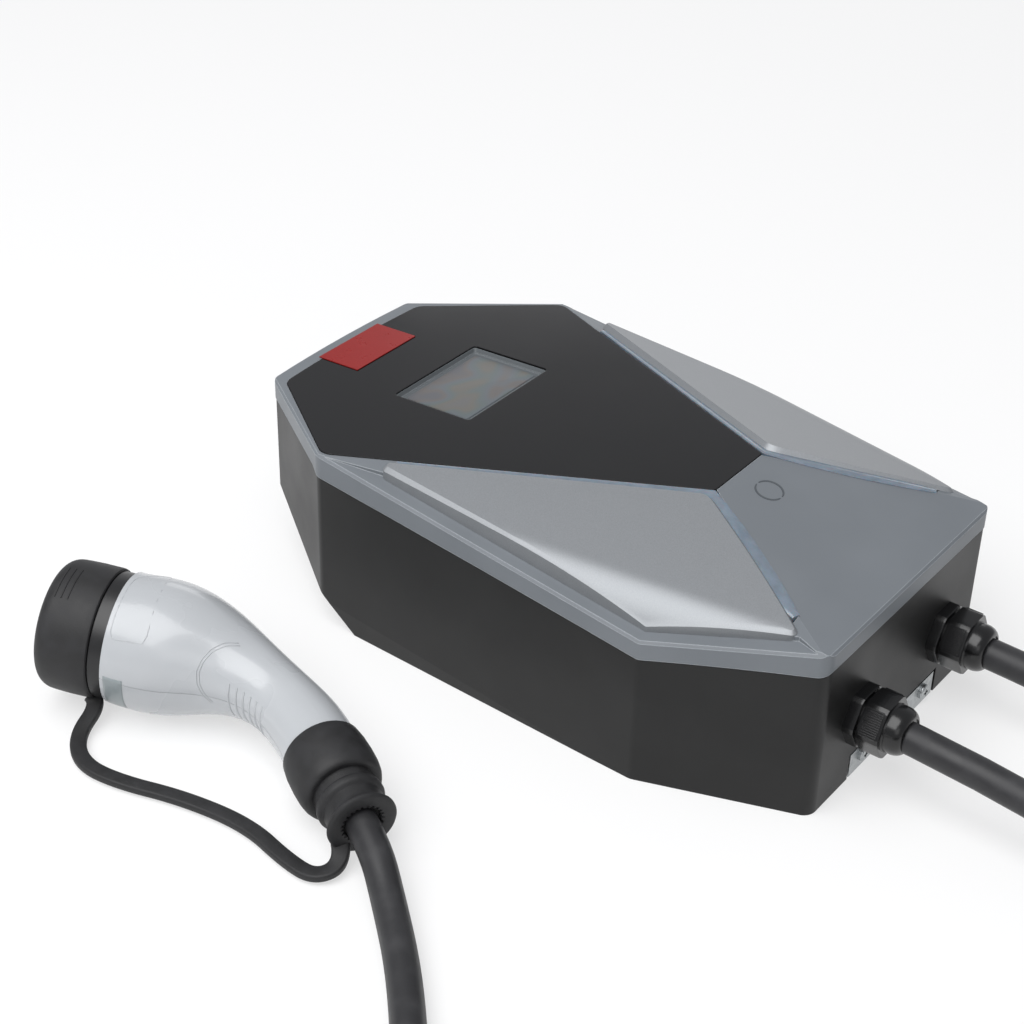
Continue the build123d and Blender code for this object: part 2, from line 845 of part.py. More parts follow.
with BuildPart() as left_wing:
    with BuildSketch(Plane.XY):
        polygon_face(wing_corners)
        fillet(vertices().sort_by(Axis.Y)[:3], wing_round)
        fillet(vertices().sort_by(Axis.Y)[-2:], wing_tip_round)
    extrude(amount=2 * apex_height)
    for plane in wing_facets:
        split(bisect_by=plane, keep=Keep.BOTTOM)
        bevel(wing_corners[0], wing_corners[1], plane, 0, wing_chamfer)
        bevel(wing_corners[1], wing_corners[2], plane, 0, wing_chamfer)
    bevel(wing_corners[2], wing_corners[3], wing_plane, 0, wing_chamfer)
    bevel(wing_corners[3], wing_corners[4], wing_plane, 0, wing_chamfer)
    bevel(wing_corners[4], wing_corners[0], wing_plane, 0, wing_chamfer)
    add(cover_block.part, mode=Mode.SUBTRACT)
save(left_wing.part, "left_wing")

with BuildPart() as right_wing:
    add(left_wing.part.mirror(Plane.YZ))
save(right_wing.part, "right_wing")

with BuildPart() as left_light_guide:
    with BuildSketch(Plane.XY):
        polygon_face(crease_points(guide_inner) + crease_points(guide_outer)[::-1])
    extrude(amount=2 * apex_height)
    trim_front(guide_rise)
    add(guide_floor.part, mode=Mode.SUBTRACT)
save(left_light_guide.part, "left_light_guide")

with BuildPart() as right_light_guide:
    add(left_light_guide.part.mirror(Plane.YZ))
save(right_light_guide.part, "right_light_guide")

# Inside of the housing
inner_floor = bracket_thick + bracket_gap + tub_wall
with BuildPart() as control_board:
    with BuildSketch(Plane.XY.offset(board_level)):
        with Locations((0, (board_low + board_high) / 2)):
            Rectangle(2 * board_half_width, board_high - board_low)
    extrude(amount=board_thick)
save(control_board.part, "control_board")

with BuildPart() as power_relays:
    with BuildSketch(Plane.XY.offset(board_level + board_thick)):
        with Locations((relay_pitch / 2, board_low + relay_long), (-relay_pitch / 2, board_low + relay_long)):
            Rectangle(relay_wide, relay_long)
    extrude(amount=relay_high)
save(power_relays.part, "power_relays")

with BuildPart() as power_supply:
    with BuildSketch(Plane.XY.offset(board_level + board_thick)):
        with Locations((0, board_high - supply_block_long / 2)):
            Rectangle(supply_block_wide, supply_block_long)
    extrude(amount=supply_block_high)
save(power_supply.part, "power_supply")

with BuildPart() as terminal_block:
    with BuildSketch(Plane.XY.offset(inner_floor)):
        with Locations((0, terminal_pos)):
            Rectangle(terminal_wide, terminal_long)
    extrude(amount=terminal_high)
    with BuildSketch(Plane.XY.offset(inner_floor + terminal_high / 2)):
        with Locations((0, terminal_pos)):
            with GridLocations(terminal_pitch, 0, 5, 1):
                Circle(terminal_hole_radius)
    extrude(amount=terminal_high, mode=Mode.SUBTRACT)
save(terminal_block.part, "terminal_block")

with BuildPart() as current_sensor:
    with BuildSketch(Plane.XY.offset(inner_floor)):
        with Locations((-gland_half, sensor_pos)):
            Rectangle(sensor_outer, sensor_long)
    extrude(amount=gland_high - sensor_outer / 2 - inner_floor)
    with BuildSketch(Plane.XZ.offset(-sensor_pos - sensor_long / 2)):
        with Locations((-gland_half, gland_high)):
            Circle(sensor_outer)
    extrude(amount=sensor_long)
    with BuildSketch(Plane.XZ.offset(-sensor_pos - sensor_long)):
        with Locations((-gland_half, gland_high)):
            Circle(sensor_inner)
    extrude(amount=2 * sensor_long, mode=Mode.SUBTRACT)
save(current_sensor.part, "current_sensor")


# Cable glands
wall_out = foot_pos + tub_set_in
wall_in = wall_out + tub_wall
nut_start = wall_out - gland_flange_long - gland_space
nut_end = nut_start - gland_nut_long
dome_end = nut_end - gland_dome_long
seal_start = nut_start - gland_nut_long * seal_start_share
seal_end = nut_end - gland_dome_long * seal_end_share


def wall_plane(pos):
    return Plane.XZ.offset(-pos)


for side, word in ((-1, "left"), (1, "right")):
    spot = (side * gland_half, gland_high)
    with BuildPart() as gland_body:
        with BuildSketch(wall_plane(wall_out)):
            with Locations(spot):
                RegularPolygon(gland_flange_apothem, 6, major_radius=False)
        extrude(amount=gland_flange_long)
        with BuildSketch(wall_plane(wall_out + gland_inside_long)):
            with Locations(spot):
                Circle(gland_thread_radius)
        extrude(amount=gland_inside_long + wall_out - seal_start)
        with BuildSketch(wall_plane(wall_out + gland_inside_long)):
            with Locations(spot):
                Circle(gland_bore_radius)
        extrude(amount=gland_inside_long + wall_out - seal_start, mode=Mode.SUBTRACT)
    save(gland_body.part, word + "_gland_body")

    with BuildPart() as gland_locknut:
        with BuildSketch(wall_plane(wall_in + gland_locknut_long)):
            with Locations(spot):
                RegularPolygon(gland_flange_apothem, 6, major_radius=False)
                Circle(gland_thread_radius, mode=Mode.SUBTRACT)
        extrude(amount=gland_locknut_long)
    save(gland_locknut.part, word + "_gland_locknut")

    with BuildPart() as gland_seal:
        with BuildSketch(wall_plane(seal_start)):
            with Locations(spot):
                Circle(gland_thread_radius)
                Circle(cord_radius, mode=Mode.SUBTRACT)
        extrude(amount=seal_start - seal_end)
    save(gland_seal.part, word + "_gland_seal")

    with BuildPart() as gland_nut:
        with BuildSketch(wall_plane(nut_end)):
            with Locations(spot):
                Circle(gland_dome_radius + gland_space)
        extrude(amount=gland_dome_long)
        fillet(edges().group_by(Axis.Y)[0], gland_dome_long * dome_round_share)
        with BuildSketch(wall_plane(nut_start)):
            with Locations(spot):
                RegularPolygon(gland_nut_apothem, 6, major_radius=False)
        extrude(amount=gland_nut_long)
        for turn in (30, 150, 270):
            for count in range(knurl_count):
                along = (count - (knurl_count - 1) / 2) * knurl_pitch
                turned = radians(turn)
                x = spot[0] + gland_nut_apothem * cos(turned) - along * sin(turned)
                z = spot[1] + gland_nut_apothem * sin(turned) + along * cos(turned)
                with BuildSketch(wall_plane(nut_start)):
                    with Locations((x, z)):
                        Circle(knurl_radius)
                extrude(amount=gland_nut_long)
        with BuildSketch(wall_plane(nut_start)):
            with Locations(spot):
                Circle(gland_thread_radius)
        extrude(amount=nut_start - seal_end, mode=Mode.SUBTRACT)
        with BuildSketch(wall_plane(nut_start)):
            with Locations(spot):
                Circle(gland_nut_bore)
        extrude(amount=nut_start - dome_end, mode=Mode.SUBTRACT)
    save(gland_nut.part, word + "_gland_nut")


# Connector
plug_plane = Plane(
    origin=(plug_x, plug_y, plug_high),
    x_dir=(1, 0, 0),
    z_dir=(0, -sin(radians(plug_sink)), cos(radians(plug_sink))),
)
rear_x = sin(radians(plug_heading))
rear_y = -cos(radians(plug_heading))
tail_x = sin(radians(plug_heading - plug_turn))
tail_y = -cos(radians(plug_heading - plug_turn))
corner_spot = (plug_corner_far * rear_x, plug_corner_far * rear_y)
tail_spot = (corner_spot[0] + plug_tail_far * tail_x, corner_spot[1] + plug_tail_far * tail_y)
with BuildLine(plug_plane) as plug_axis:
    FilletPolyline((0, 0), corner_spot, tail_spot, radius=plug_arc_radius)
axis_wire = plug_axis.wire()


def station(share):
    return Plane(origin=axis_wire @ share, x_dir=plug_plane.z_dir, z_dir=axis_wire % share)


front_station = station(0)


def ahead(distance):
    return front_station.offset(-distance)


shell_stations = list(zip(shell_shares, shell_radii))
boot_stations = list(zip(boot_shares, boot_radii))

with BuildPart() as shell_form:
    for share, radius in shell_stations:
        with BuildSketch(station(share)):
            Circle(radius)
    loft()

with BuildPart() as shell_core:
    for share, radius in shell_stations:
        with BuildSketch(station(share)):
            Circle(radius - shell_wall)
    loft()

with BuildPart() as connector_shell_upper:
    add(shell_form.part)
    add(shell_core.part, mode=Mode.SUBTRACT)
    split(bisect_by=plug_plane.offset(shell_seam), keep=Keep.TOP)
save(connector_shell_upper.part, "connector_shell_upper")

with BuildPart() as connector_shell_lower:
    add(shell_form.part)
    add(shell_core.part, mode=Mode.SUBTRACT)
    split(bisect_by=plug_plane.offset(-shell_seam), keep=Keep.BOTTOM)
save(connector_shell_lower.part, "connector_shell_lower")

with BuildPart() as connector_collar:
    with BuildSketch(ahead(collar_long)):
        Circle(collar_radius)
    extrude(amount=collar_long)
save(connector_collar.part, "connector_collar")

with BuildPart() as connector_nose:
    with BuildSketch(ahead(collar_long + nose_long)):
        Circle(nose_radius)
        Circle(nose_radius - nose_wall, mode=Mode.SUBTRACT)
    extrude(amount=nose_long)
save(connector_nose.part, "connector_nose")

contact_turns = [0, 60, 120, 180, 240, 300]
contact_spots = [(0, 0)]
for turn in contact_turns:
    contact_spots.append((contact_ring_radius * cos(radians(turn)), contact_ring_radius * sin(radians(turn))))

with BuildPart() as contact_carrier:
    with BuildSketch(ahead(collar_long + carrier_long)):
        Circle(carrier_radius)
        with Locations(*contact_spots):
            Circle(contact_radius, mode=Mode.SUBTRACT)
    extrude(amount=carrier_long)
save(contact_carrier.part, "contact_carrier")

with BuildPart() as contact_sleeves:
    with BuildSketch(ahead(collar_long + contact_long)):
        with Locations(*contact_spots):
            Circle(contact_radius)
            Circle(contact_bore_radius, mode=Mode.SUBTRACT)
    extrude(amount=contact_long)
save(contact_sleeves.part, "contact_sleeves")

# Protective cap over the nose
cap_start = collar_long + cap_gap
with BuildPart() as protective_cap:
    with BuildSketch(ahead(cap_start + cap_long)):
        Circle(cap_radius)
    extrude(amount=cap_long)
    round_edges = edges().filter_by(GeomType.CIRCLE)
    fillet(round_edges.sort_by_distance(ahead(cap_start + cap_long).origin)[0], cap_round)
    for count in range(3):
        with BuildSketch(ahead(cap_start + grip_pitch * (count + 1))):
            Circle(cap_radius)
            Circle(cap_radius - grip_deep, mode=Mode.SUBTRACT)
        extrude(amount=grip_wide, mode=Mode.SUBTRACT)
    with BuildSketch(ahead(cap_start + cap_long - cap_wall)):
        Circle(nose_radius + cap_gap)
    extrude(amount=cap_long, mode=Mode.SUBTRACT)
save(protective_cap.part, "protective_cap")

# Boot behind the shell
with BuildPart() as connector_boot:
    for share, radius in boot_stations:
        with BuildSketch(station(share)):
            Circle(radius)
    loft()
    with BuildSketch(station(1)):
        Circle(cord_radius)
    extrude(amount=-2 * cord_radius, mode=Mode.SUBTRACT)
save(connector_boot.part, "connector_boot")

with BuildPart() as strap_ring:
    with BuildSketch(station(1)):
        Circle(strap_ring_radius)
        Circle(cord_radius + 2 * cap_gap, mode=Mode.SUBTRACT)
        with PolarLocations(cord_radius + 2 * cap_gap, 12):
            Circle(grip_wide, mode=Mode.SUBTRACT)
    extrude(amount=strap_ring_thick)
save(strap_ring.part, "strap_ring")


def to_vectors(points):
    return [Vector(*p) for p in points]


def cord_radii(points):
    spots = to_vectors(points)
    radii = []
    for before, here, after in zip(spots[:-2], spots[1:-1], spots[2:]):
        run_in = here - before
        run_out = after - here
        turn = radians(run_in.get_angle(run_out))
        radii.append(cord_bend_share * min(run_in.length, run_out.length) / tan(turn / 2))
    return radii


# Cords, each a list of points from one end to the other
axis_end = axis_wire @ 1
axis_out = axis_wire % 1
boot_in = axis_end - axis_out * (2 * cord_radius)
boot_out = axis_end + axis_out * (2 * cord_radius)
charging_points = [
    (-gland_half, cord_inside_pos, gland_high),
    (-gland_half, -272.0, gland_high),
    (-50.0, -392.0, 12.0),
    (-132.0, -486.0, 10.05),
    (-238.0, -505.0, 10.05),
]
tail_points = [
    (-407.0, -322.0, 22.0),
    (-407.0, -262.0, 12.0),
    (-386.0, -196.0, 8.3),
    (-340.0, -144.0, 8.3),
    (-294.0, -103.0, 8.3),
    (-263.0, -67.5, 10.0),
    (boot_out.X, boot_out.Y, boot_out.Z),
    (boot_in.X, boot_in.Y, boot_in.Z),
]
supply_points = [
    (gland_half, cord_inside_pos, gland_high),
    (gland_half, -268.0, gland_high),
    (55.0, -366.0, 10.0),
    (95.0, -432.0, 8.3),
    (165.0, -455.0, 8.3),
]
cord_routes = [
    ("charging_cable", charging_points),
    ("charging_tail", tail_points),
    ("supply_lead", supply_points),
]
for word, points in cord_routes:
    radii = cord_radii(points)
    print(word, "radii", [round(r) for r in radii])
    with BuildPart() as tube:
        with BuildLine() as path:
            FilletPolyline(*points, radius=radii)
        with BuildSketch(Plane(origin=path.wire() @ 0, z_dir=path.wire() % 0)):
            Circle(cord_radius)
        sweep()
    print(word, "length", round(path.wire().length))
    save(tube.part, word)

with BuildPart() as charging_coil:
    with BuildSketch(Plane.XY.offset(coil_low)):
        with Locations((coil_x, coil_y)):
            Circle(coil_outer)
            Circle(coil_inner, mode=Mode.SUBTRACT)
    extrude(amount=coil_high - coil_low)
    fillet(edges(), coil_round)
save(charging_coil.part, "charging_coil")

with BuildPart() as coil_tie:
    for turn in tie_turns:
        way = Vector(cos(radians(turn)), sin(radians(turn)))
        middle = Vector(coil_x, coil_y, (coil_low + coil_high) / 2) + way * ((coil_inner + coil_outer) / 2)
        with BuildSketch(Plane(origin=middle, x_dir=way, z_dir=way.cross(Vector(0, 0, 1)))):
            Rectangle(
                coil_outer - coil_inner + 2 * tie_gap + 2 * tie_thick, coil_high - coil_low + 2 * tie_thick
            )
            Rectangle(coil_outer - coil_inner + 2 * tie_gap, coil_high - coil_low, mode=Mode.SUBTRACT)
        extrude(amount=tie_wide / 2, both=True)
save(coil_tie.part, "coil_tie")

# Stripped end of the supply lead
lead_end = Vector(*supply_points[-1])
lead_way = (lead_end - Vector(*supply_points[-2])).normalized()
lead_side = Vector(lead_way.Y, -lead_way.X)
core_ends = []
fan_order = [0, -2, -1, 1, 2]
with BuildPart() as supply_cores:
    for count in range(5):
        turn = radians(90 + 72 * count)
        start = lead_end + lead_side * (core_ring_radius * cos(turn)) + Vector(0, 0, core_ring_radius * sin(turn))
        bend = start + lead_way * core_run
        finish = lead_end + lead_way * (core_run + core_fan) + lead_side * (fan_order[count] * core_spread)
        finish = Vector(finish.X, finish.Y, core_radius + cap_gap + (bend.Z - core_radius) * core_drop_share)
        core_ends.append((finish, (finish - bend).normalized()))
        with BuildLine() as path:
            FilletPolyline(start, bend, finish, radius=core_run)
        with BuildSketch(Plane(origin=start, z_dir=lead_way)):
            Circle(core_radius)
        sweep(path=path.wire())
save(supply_cores.part, "supply_cores")

with BuildPart() as core_ferrules:
    for spot, way in core_ends:
        with BuildSketch(Plane(origin=spot, z_dir=way)):
            Circle(ferrule_radius)
        extrude(amount=ferrule_long)
save(core_ferrules.part, "core_ferrules")

# Strap from the cap to the ring behind the boot
strap_points = [
    (-243.5, 141.3, 9.4),
    (-264.5, 137.0, strap_level),
    (-277.5, 119.5, strap_level),
    (-276.0, 96.0, strap_level),
    (-264.5, 61.0, strap_level),
    (-259.5, 23.0, strap_level),
    (-266.5, -8.0, strap_level),
    (-267.0, -26.0, strap_level),
    (-254.4, -32.1, 5.6),
]
strap_radii = cord_radii(strap_points)
print("strap radii", [round(r) for r in strap_radii])
with BuildPart() as cap_strap:
    with BuildLine() as path:
        FilletPolyline(*strap_points, radius=strap_radii)
    with BuildSketch(Plane(origin=path.wire() @ 0, z_dir=path.wire() % 0, x_dir=(0, 0, 1))):
        RectangleRounded(strap_thick, strap_wide, strap_thick / 3)
    sweep()
save(cap_strap.part, "cap_strap")
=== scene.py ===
import bpy
import bmesh
from math import cos, pi, radians, sin, sqrt
from mathutils import Matrix, Vector
from mathutils.bvhtree import BVHTree


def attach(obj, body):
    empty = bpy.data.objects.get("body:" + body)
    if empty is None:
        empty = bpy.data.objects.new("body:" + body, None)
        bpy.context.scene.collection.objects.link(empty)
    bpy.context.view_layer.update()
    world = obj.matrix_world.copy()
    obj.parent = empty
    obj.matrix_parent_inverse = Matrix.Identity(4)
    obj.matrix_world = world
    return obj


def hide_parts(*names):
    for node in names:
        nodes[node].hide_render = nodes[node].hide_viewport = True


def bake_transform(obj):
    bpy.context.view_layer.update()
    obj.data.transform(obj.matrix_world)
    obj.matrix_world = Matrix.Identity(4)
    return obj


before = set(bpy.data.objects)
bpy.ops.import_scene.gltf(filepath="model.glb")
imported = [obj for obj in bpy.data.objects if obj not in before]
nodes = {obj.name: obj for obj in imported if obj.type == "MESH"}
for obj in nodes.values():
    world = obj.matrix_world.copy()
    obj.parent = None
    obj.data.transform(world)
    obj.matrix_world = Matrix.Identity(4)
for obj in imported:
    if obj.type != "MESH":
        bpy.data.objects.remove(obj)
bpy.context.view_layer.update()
print("frame loaded")

# Camera, fitted to the photograph: a place and three axes
view = {
    "lens": 74.184,
    "sensor": 36,
    "nearClip": 0.05,
    "place": (-0.80335, -0.52746, 0.68859),
    "right": (0.602437, -0.797867, 0.021872),
    "up": (0.426795, 0.34517, 0.835885),
    "back": (-0.674474, -0.494233, 0.548469),
}
cameraData = bpy.data.cameras.new("camera")
camera = bpy.data.objects.new("camera", cameraData)
bpy.context.scene.collection.objects.link(camera)
bpy.context.scene.camera = camera
cameraData.lens = view["lens"]
cameraData.sensor_width = view["sensor"]
cameraData.clip_start = view["nearClip"]
turn = Matrix((view["right"], view["up"], view["back"])).transposed()
camera.matrix_world = Matrix.Translation(view["place"]) @ turn.to_4x4()


def place(name, data):
    obj = bpy.data.objects.new(name, data)
    bpy.context.scene.collection.objects.link(obj)
    return obj


def meshPiece(name, points, faces, smoothTo=35):
    data = bpy.data.meshes.new(name)
    data.from_pydata([tuple(point) for point in points], [], faces)
    form = bmesh.new()
    form.from_mesh(data)
    bmesh.ops.recalc_face_normals(form, faces=form.faces)
    form.to_mesh(data)
    form.free()
    data.shade_smooth()
    data.set_sharp_from_angle(angle=radians(smoothTo))
    return place(name, data)


def splineCurve(name, points, radius, steps=6):
    data = bpy.data.curves.new(name, "CURVE")
    data.dimensions = "3D"
    data.bevel_depth = radius
    data.bevel_resolution = 5
    data.use_fill_caps = True
    spline = data.splines.new("NURBS")
    spline.points.add(len(points) - 1)
    for spot, point in zip(spline.points, points):
        spot.co = (*point, 1)
    spline.order_u = 3
    spline.use_endpoint_u = True
    spline.resolution_u = steps
    return place(name, data)


def splinePath(points, steps):
    # The points that a spline runs through, read from a bare curve
    bare = splineCurve("bare", points, 0, steps)
    data = bpy.data.meshes.new_from_object(bare)
    path = [vertex.co.copy() for vertex in data.vertices]
    bpy.data.objects.remove(bare)
    bpy.data.meshes.remove(data)
    return path


def bandFaces(rings, size, closed=False):
    # Faces between rings of points that lie one after another
    faces = []
    for row in range(rings if closed else rings - 1):
        low, high = row * size, (row + 1) % rings * size
        for index in range(size):
            after = (index + 1) % size
            faces.append((low + index, low + after, high + after, high + index))
    return faces


def endFaces(rings, size):
    return [tuple(range(size)), tuple(range((rings - 1) * size, rings * size))]


def cornerSpots(halfWide, halfHigh, corner, step, count):
    # A rounded rectangle, its corners turned in steps of so many degrees
    spots = []
    for x, y, start in ((1, 1, 0), (-1, 1, 90), (-1, -1, 180), (1, -1, 270)):
        for turned in range(count):
            angle = radians(start + step * turned)
            across, up = corner * cos(angle), corner * sin(angle)
            spots.append((x * (halfWide - corner) + across, y * (halfHigh - corner) + up))
    return spots


def surfaceTree(piece):
    # The piece's surface, for rays and nearest points
    corners = [vertex.co.copy() for vertex in piece.data.vertices]
    return BVHTree.FromPolygons(corners, [tuple(face.vertices) for face in piece.data.polygons])


def join(name, pieces):
    form = bmesh.new()
    for piece in pieces:
        form.from_mesh(piece.data)
        bpy.data.objects.remove(piece)
    data = bpy.data.meshes.new(name)
    form.to_mesh(data)
    form.free()
    return place(name, data)


# Cords
cordRadius = 0.00825
chargingPoints = [
    (-0.043, -0.136, 0.041),
    (-0.043, -0.272, 0.041),
    (-0.050, -0.392, 0.012),
    (-0.132, -0.486, 0.01005),
    (-0.238, -0.505, 0.01005),
]
tailPoints = [
    (-0.407, -0.322, 0.022),
    (-0.407, -0.262, 0.012),
    (-0.386, -0.196, 0.0083),
    (-0.340, -0.144, 0.0083),
    (-0.294, -0.103, 0.0083),
    (-0.263, -0.0675, 0.010),
    (-0.24556, -0.04417, 0.01971),
    (-0.23058, -0.01489, 0.02237),
]
supplyPoints = [
    (0.043, -0.136, 0.041),
    (0.043, -0.268, 0.041),
    (0.055, -0.366, 0.010),
    (0.095, -0.432, 0.0083),
    (0.165, -0.455, 0.0083),
]
strapPoints = [
    (-0.2435, 0.1413, 0.0094),
    (-0.2645, 0.137, 0.0032),
    (-0.2775, 0.1195, 0.0032),
    (-0.276, 0.096, 0.0032),
    (-0.2645, 0.061, 0.0032),
    (-0.2595, 0.023, 0.0032),
    (-0.2665, -0.008, 0.0032),
    (-0.267, -0.026, 0.0032),
    (-0.2544, -0.0321, 0.0056),
]
coil = {
    "centre": Vector((-0.300, -0.390, 0)),
    "turns": 6.25,
    "perTurn": 16,
    "outerRadius": 0.115,
    "innerRadius": 0.0653,
    "lowLevel": 0.01005,
    "highLevel": 0.02650,
    "inwardTurns": 3.0,
    "climbTurns": 0.25,
}


def coilPoints():
    # The lower layer winds inwards, climbs over its last turn and winds out again on top
    points = []
    pitch = (coil["outerRadius"] - coil["innerRadius"]) / coil["inwardTurns"]
    topStart = coil["inwardTurns"] + coil["climbTurns"]
    for count in range(int(coil["turns"] * coil["perTurn"])):
        turns = (count + 0.5) / coil["perTurn"]
        climb = min(max((turns - coil["inwardTurns"]) / coil["climbTurns"], 0), 1)
        radius = max(coil["outerRadius"] - pitch * turns, coil["innerRadius"])
        radius = max(radius, coil["innerRadius"] + pitch * (turns - topStart))
        radius /= cos(pi / coil["perTurn"])
        angle = -pi / 2 - 2 * pi * turns
        level = coil["lowLevel"] + (coil["highLevel"] - coil["lowLevel"]) * climb
        points.append(coil["centre"] + Vector((radius * cos(angle), radius * sin(angle), level)))
    return points


chargingCord = splineCurve("charging_cord", chargingPoints + coilPoints() + tailPoints, cordRadius)
supplyCord = splineCurve("supply_cord", supplyPoints, cordRadius, 10)
print("cords laid")


# Node material helpers
def linear(code):
    parts = [int(code[start:start + 2], 16) / 255 for start in (1, 3, 5)]
    shades = [part / 12.92 if part <= 0.04045 else ((part + 0.055) / 1.055) ** 2.4 for part in parts]
    return (*shades, 1)


def addNode(tree, kind, *values, **named):
    # Values go to the inputs in their order, named ones to a setting or an input
    made = tree.nodes.new(kind)
    for key, value in [*named.items(), *enumerate(values)]:
        if isinstance(key, str) and hasattr(made, key):
            setattr(made, key, value)
        elif value is not None:
            feed(tree, made.inputs[key.replace("_", " ") if isinstance(key, str) else key], value)
    return made


def feed(tree, socket, value):
    if isinstance(value, bpy.types.NodeSocket):
        tree.links.new(value, socket)
    else:
        socket.default_value = linear(value) if isinstance(value, str) else value


class Finish:
    # A material in the making: its node tree, its shader and its object coordinates
    def __init__(self, name, slot=None):
        self.slot = slot or name
        self.material = bpy.data.materials.new(name)
        self.material.use_nodes = True
        self.tree = self.material.node_tree
        self.tree.nodes.clear()
        self.shader = self.node("BsdfPrincipled")
        self.node("OutputMaterial", self.shader.outputs[0])
        self.where = self.node("TexCoord").outputs["Object"]

    def node(self, kind, *values, **named):
        return addNode(self.tree, "ShaderNode" + kind, *values, **named)

    def set(self, **sockets):
        for key, value in sockets.items():
            feed(self.tree, self.shader.inputs[key.replace("_", " ")], value)

    def noise(self, size, detail=3, where=None):
        return self.node("TexNoise", Scale=1 / size, Detail=detail, Vector=where or self.where).outputs["Fac"]

    def ramp(self, value, low, high, start=0.0, end=1.0):
        made = self.node("MapRange", Value=value, From_Min=low, From_Max=high, To_Min=start, To_Max=end)
        return made.outputs["Result"]

    def mix(self, share, first, second):
        made = self.node("Mix", share, data_type="RGBA")
        feed(self.tree, made.inputs[6], first)
        feed(self.tree, made.inputs[7], second)
        return made.outputs[2]

    def cells(self, size):
        # A chance value for each of many small cells
        found = self.node("TexVoronoi", Scale=1 / size, Vector=self.where)
        return self.node("SeparateColor", Color=found.outputs["Color"]).outputs[0]

    def bump(self, height, depth, normal=None):
        return self.node("Bump", Distance=depth, Height=height, Strength=1.0, Normal=normal).outputs["Normal"]

    def softEdge(self, radius):
        return self.node("Bevel", samples=4, Radius=radius).outputs["Normal"]

    def edgeShare(self, soft):
        # One along sharp edges, nothing on the flats
        flat = self.node("NewGeometry").outputs["Normal"]
        facing = self.node("VectorMath", soft, flat, operation="DOT_PRODUCT")
        return self.ramp(facing.outputs["Value"], 0.995, 0.93)


def moulded(
    name, code, darker, rough=0.4, grain=0.0005, depth=0.00002, edge=0.0, coat=0.0, mottle=0.03, paintedHighlight=None,
    shine=0.5, slot=None
):
    # Injection-moulded plastic: faint flow marks, edges rounded by the tool and a spark-eroded grain,
    # drawn coarser than its 0.1 mm to show, and, where a highlight colour is given, a painted highlight along
    # sharp edges
    made = Finish(name, slot)
    colour = made.mix(made.ramp(made.noise(mottle, 2), 0.35, 0.65), code, darker)
    cells = made.noise(grain, 2)
    soft = made.softEdge(edge) if edge else None
    # Painted highlight: a lighter colour mixed in along sharp edges
    if paintedHighlight:
        colour = made.mix(made.edgeShare(soft), colour, paintedHighlight)
    wipe = made.ramp(made.noise(mottle * 1.7, 4), 0.3, 0.7, rough * 0.9, rough * 1.12)
    made.set(Base_Color=colour, Roughness=wipe, Normal=made.bump(cells, depth, soft))
    made.set(Coat_Weight=coat, Coat_Roughness=0.08, Specular_IOR_Level=shine)
    return made


def dress(piece, finish):
    data = piece.data
    data.materials.clear()
    data.materials.append(finish.material)


def settle(piece, finish, *replaced, body="wallbox"):
    # Its finish, the body that carries it and the nodes that it stands for
    dress(piece, finish)
    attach(piece, body)
    if replaced:
        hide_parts(*replaced)
    return piece


# Spark-eroded ABS of the rear tub: satin black, with a painted highlight a little lighter along its edges
tubAbs = moulded(
    "tub_abs", "#131313", "#171717", rough=0.44, grain=0.0007, depth=0.00003, edge=0.0008,
    paintedHighlight="#262627", shine=0.38
)

# Spark-eroded ABS of the front cover: satin mid grey, with a painted highlight along its creases
coverGrey = moulded(
    "cover_grey", "#6e7378", "#72777c", rough=0.42, grain=0.0006, edge=0.0006, mottle=0.05, paintedHighlight="#a9aeb2"
)

# Moulded EPDM of the seals: matt black
sealRubber = moulded("seal_rubber", "#161616", "#1c1c1c", rough=0.72, depth=0.00004)

# Gloss black acrylic of the front panel, with faint wipe marks in its hard coat
panelGloss = Finish("panel_gloss")
wipes = panelGloss.ramp(panelGloss.noise(0.04, 5), 0.35, 0.7, 0.13, 0.145)
panelGloss.set(Base_Color="#0b0b0c", Roughness=wipes, Normal=panelGloss.softEdge(0.0006))
panelGloss.set(Coat_Weight=0.15, Specular_IOR_Level=0.32, Coat_Roughness=0.04)

# Display lens: grey liquid-crystal cell under acrylic, with faint rainbow tints from its polariser
displayGlass = Finish("display_glass")
stretch = displayGlass.node("Mapping", Vector=displayGlass.where, Scale=(1, 1.4, 1)).outputs[0]
tintCloud = displayGlass.noise(0.028, 1.0, stretch)
tints = displayGlass.node("ValToRGB", Fac=tintCloud)
bands = tints.color_ramp.elements
bands[0].position, bands[0].color = 0.34, linear("#5c5d61")
bands[1].position, bands[1].color = 0.68, linear("#646464")
for position, code in ((0.42, "#64605e"), (0.48, "#5f6469"), (0.54, "#5c6566"), (0.60, "#66645f")):
    bands.new(position).color = linear(code)
displayGlass.set(Base_Color=tints.outputs["Color"], Roughness=0.34, Specular_IOR_Level=0.3)
displayGlass.set(Normal=displayGlass.bump(displayGlass.noise(0.0009, 2), 0.000004))

# Satin grey liner round the lens, with a painted highlight along its edges
displayFrame = moulded(
    "display_frame", "#565b5e", "#5a5f62", grain=0.0004, depth=0.00001, edge=0.0002, paintedHighlight="#8b9093"
)

# Dark grey case of the display module
modulePlastic = moulded("module_plastic", "#3c3f42", "#424548", rough=0.5, grain=0.0004)

# Printed red film under a clear layer
badgeRed = Finish("badge_red")
ink = badgeRed.ramp(badgeRed.noise(0.0012, 3), 0.3, 0.7)
badgeRed.set(Base_Color=badgeRed.mix(ink, "#87130f", "#901a16"), Specular_IOR_Level=0.3)
badgeRed.set(Roughness=badgeRed.ramp(badgeRed.noise(0.012, 4), 0.3, 0.7, 0.26, 0.36))
badgeRed.set(Normal=badgeRed.bump(badgeRed.noise(0.0009, 2), 0.000004))

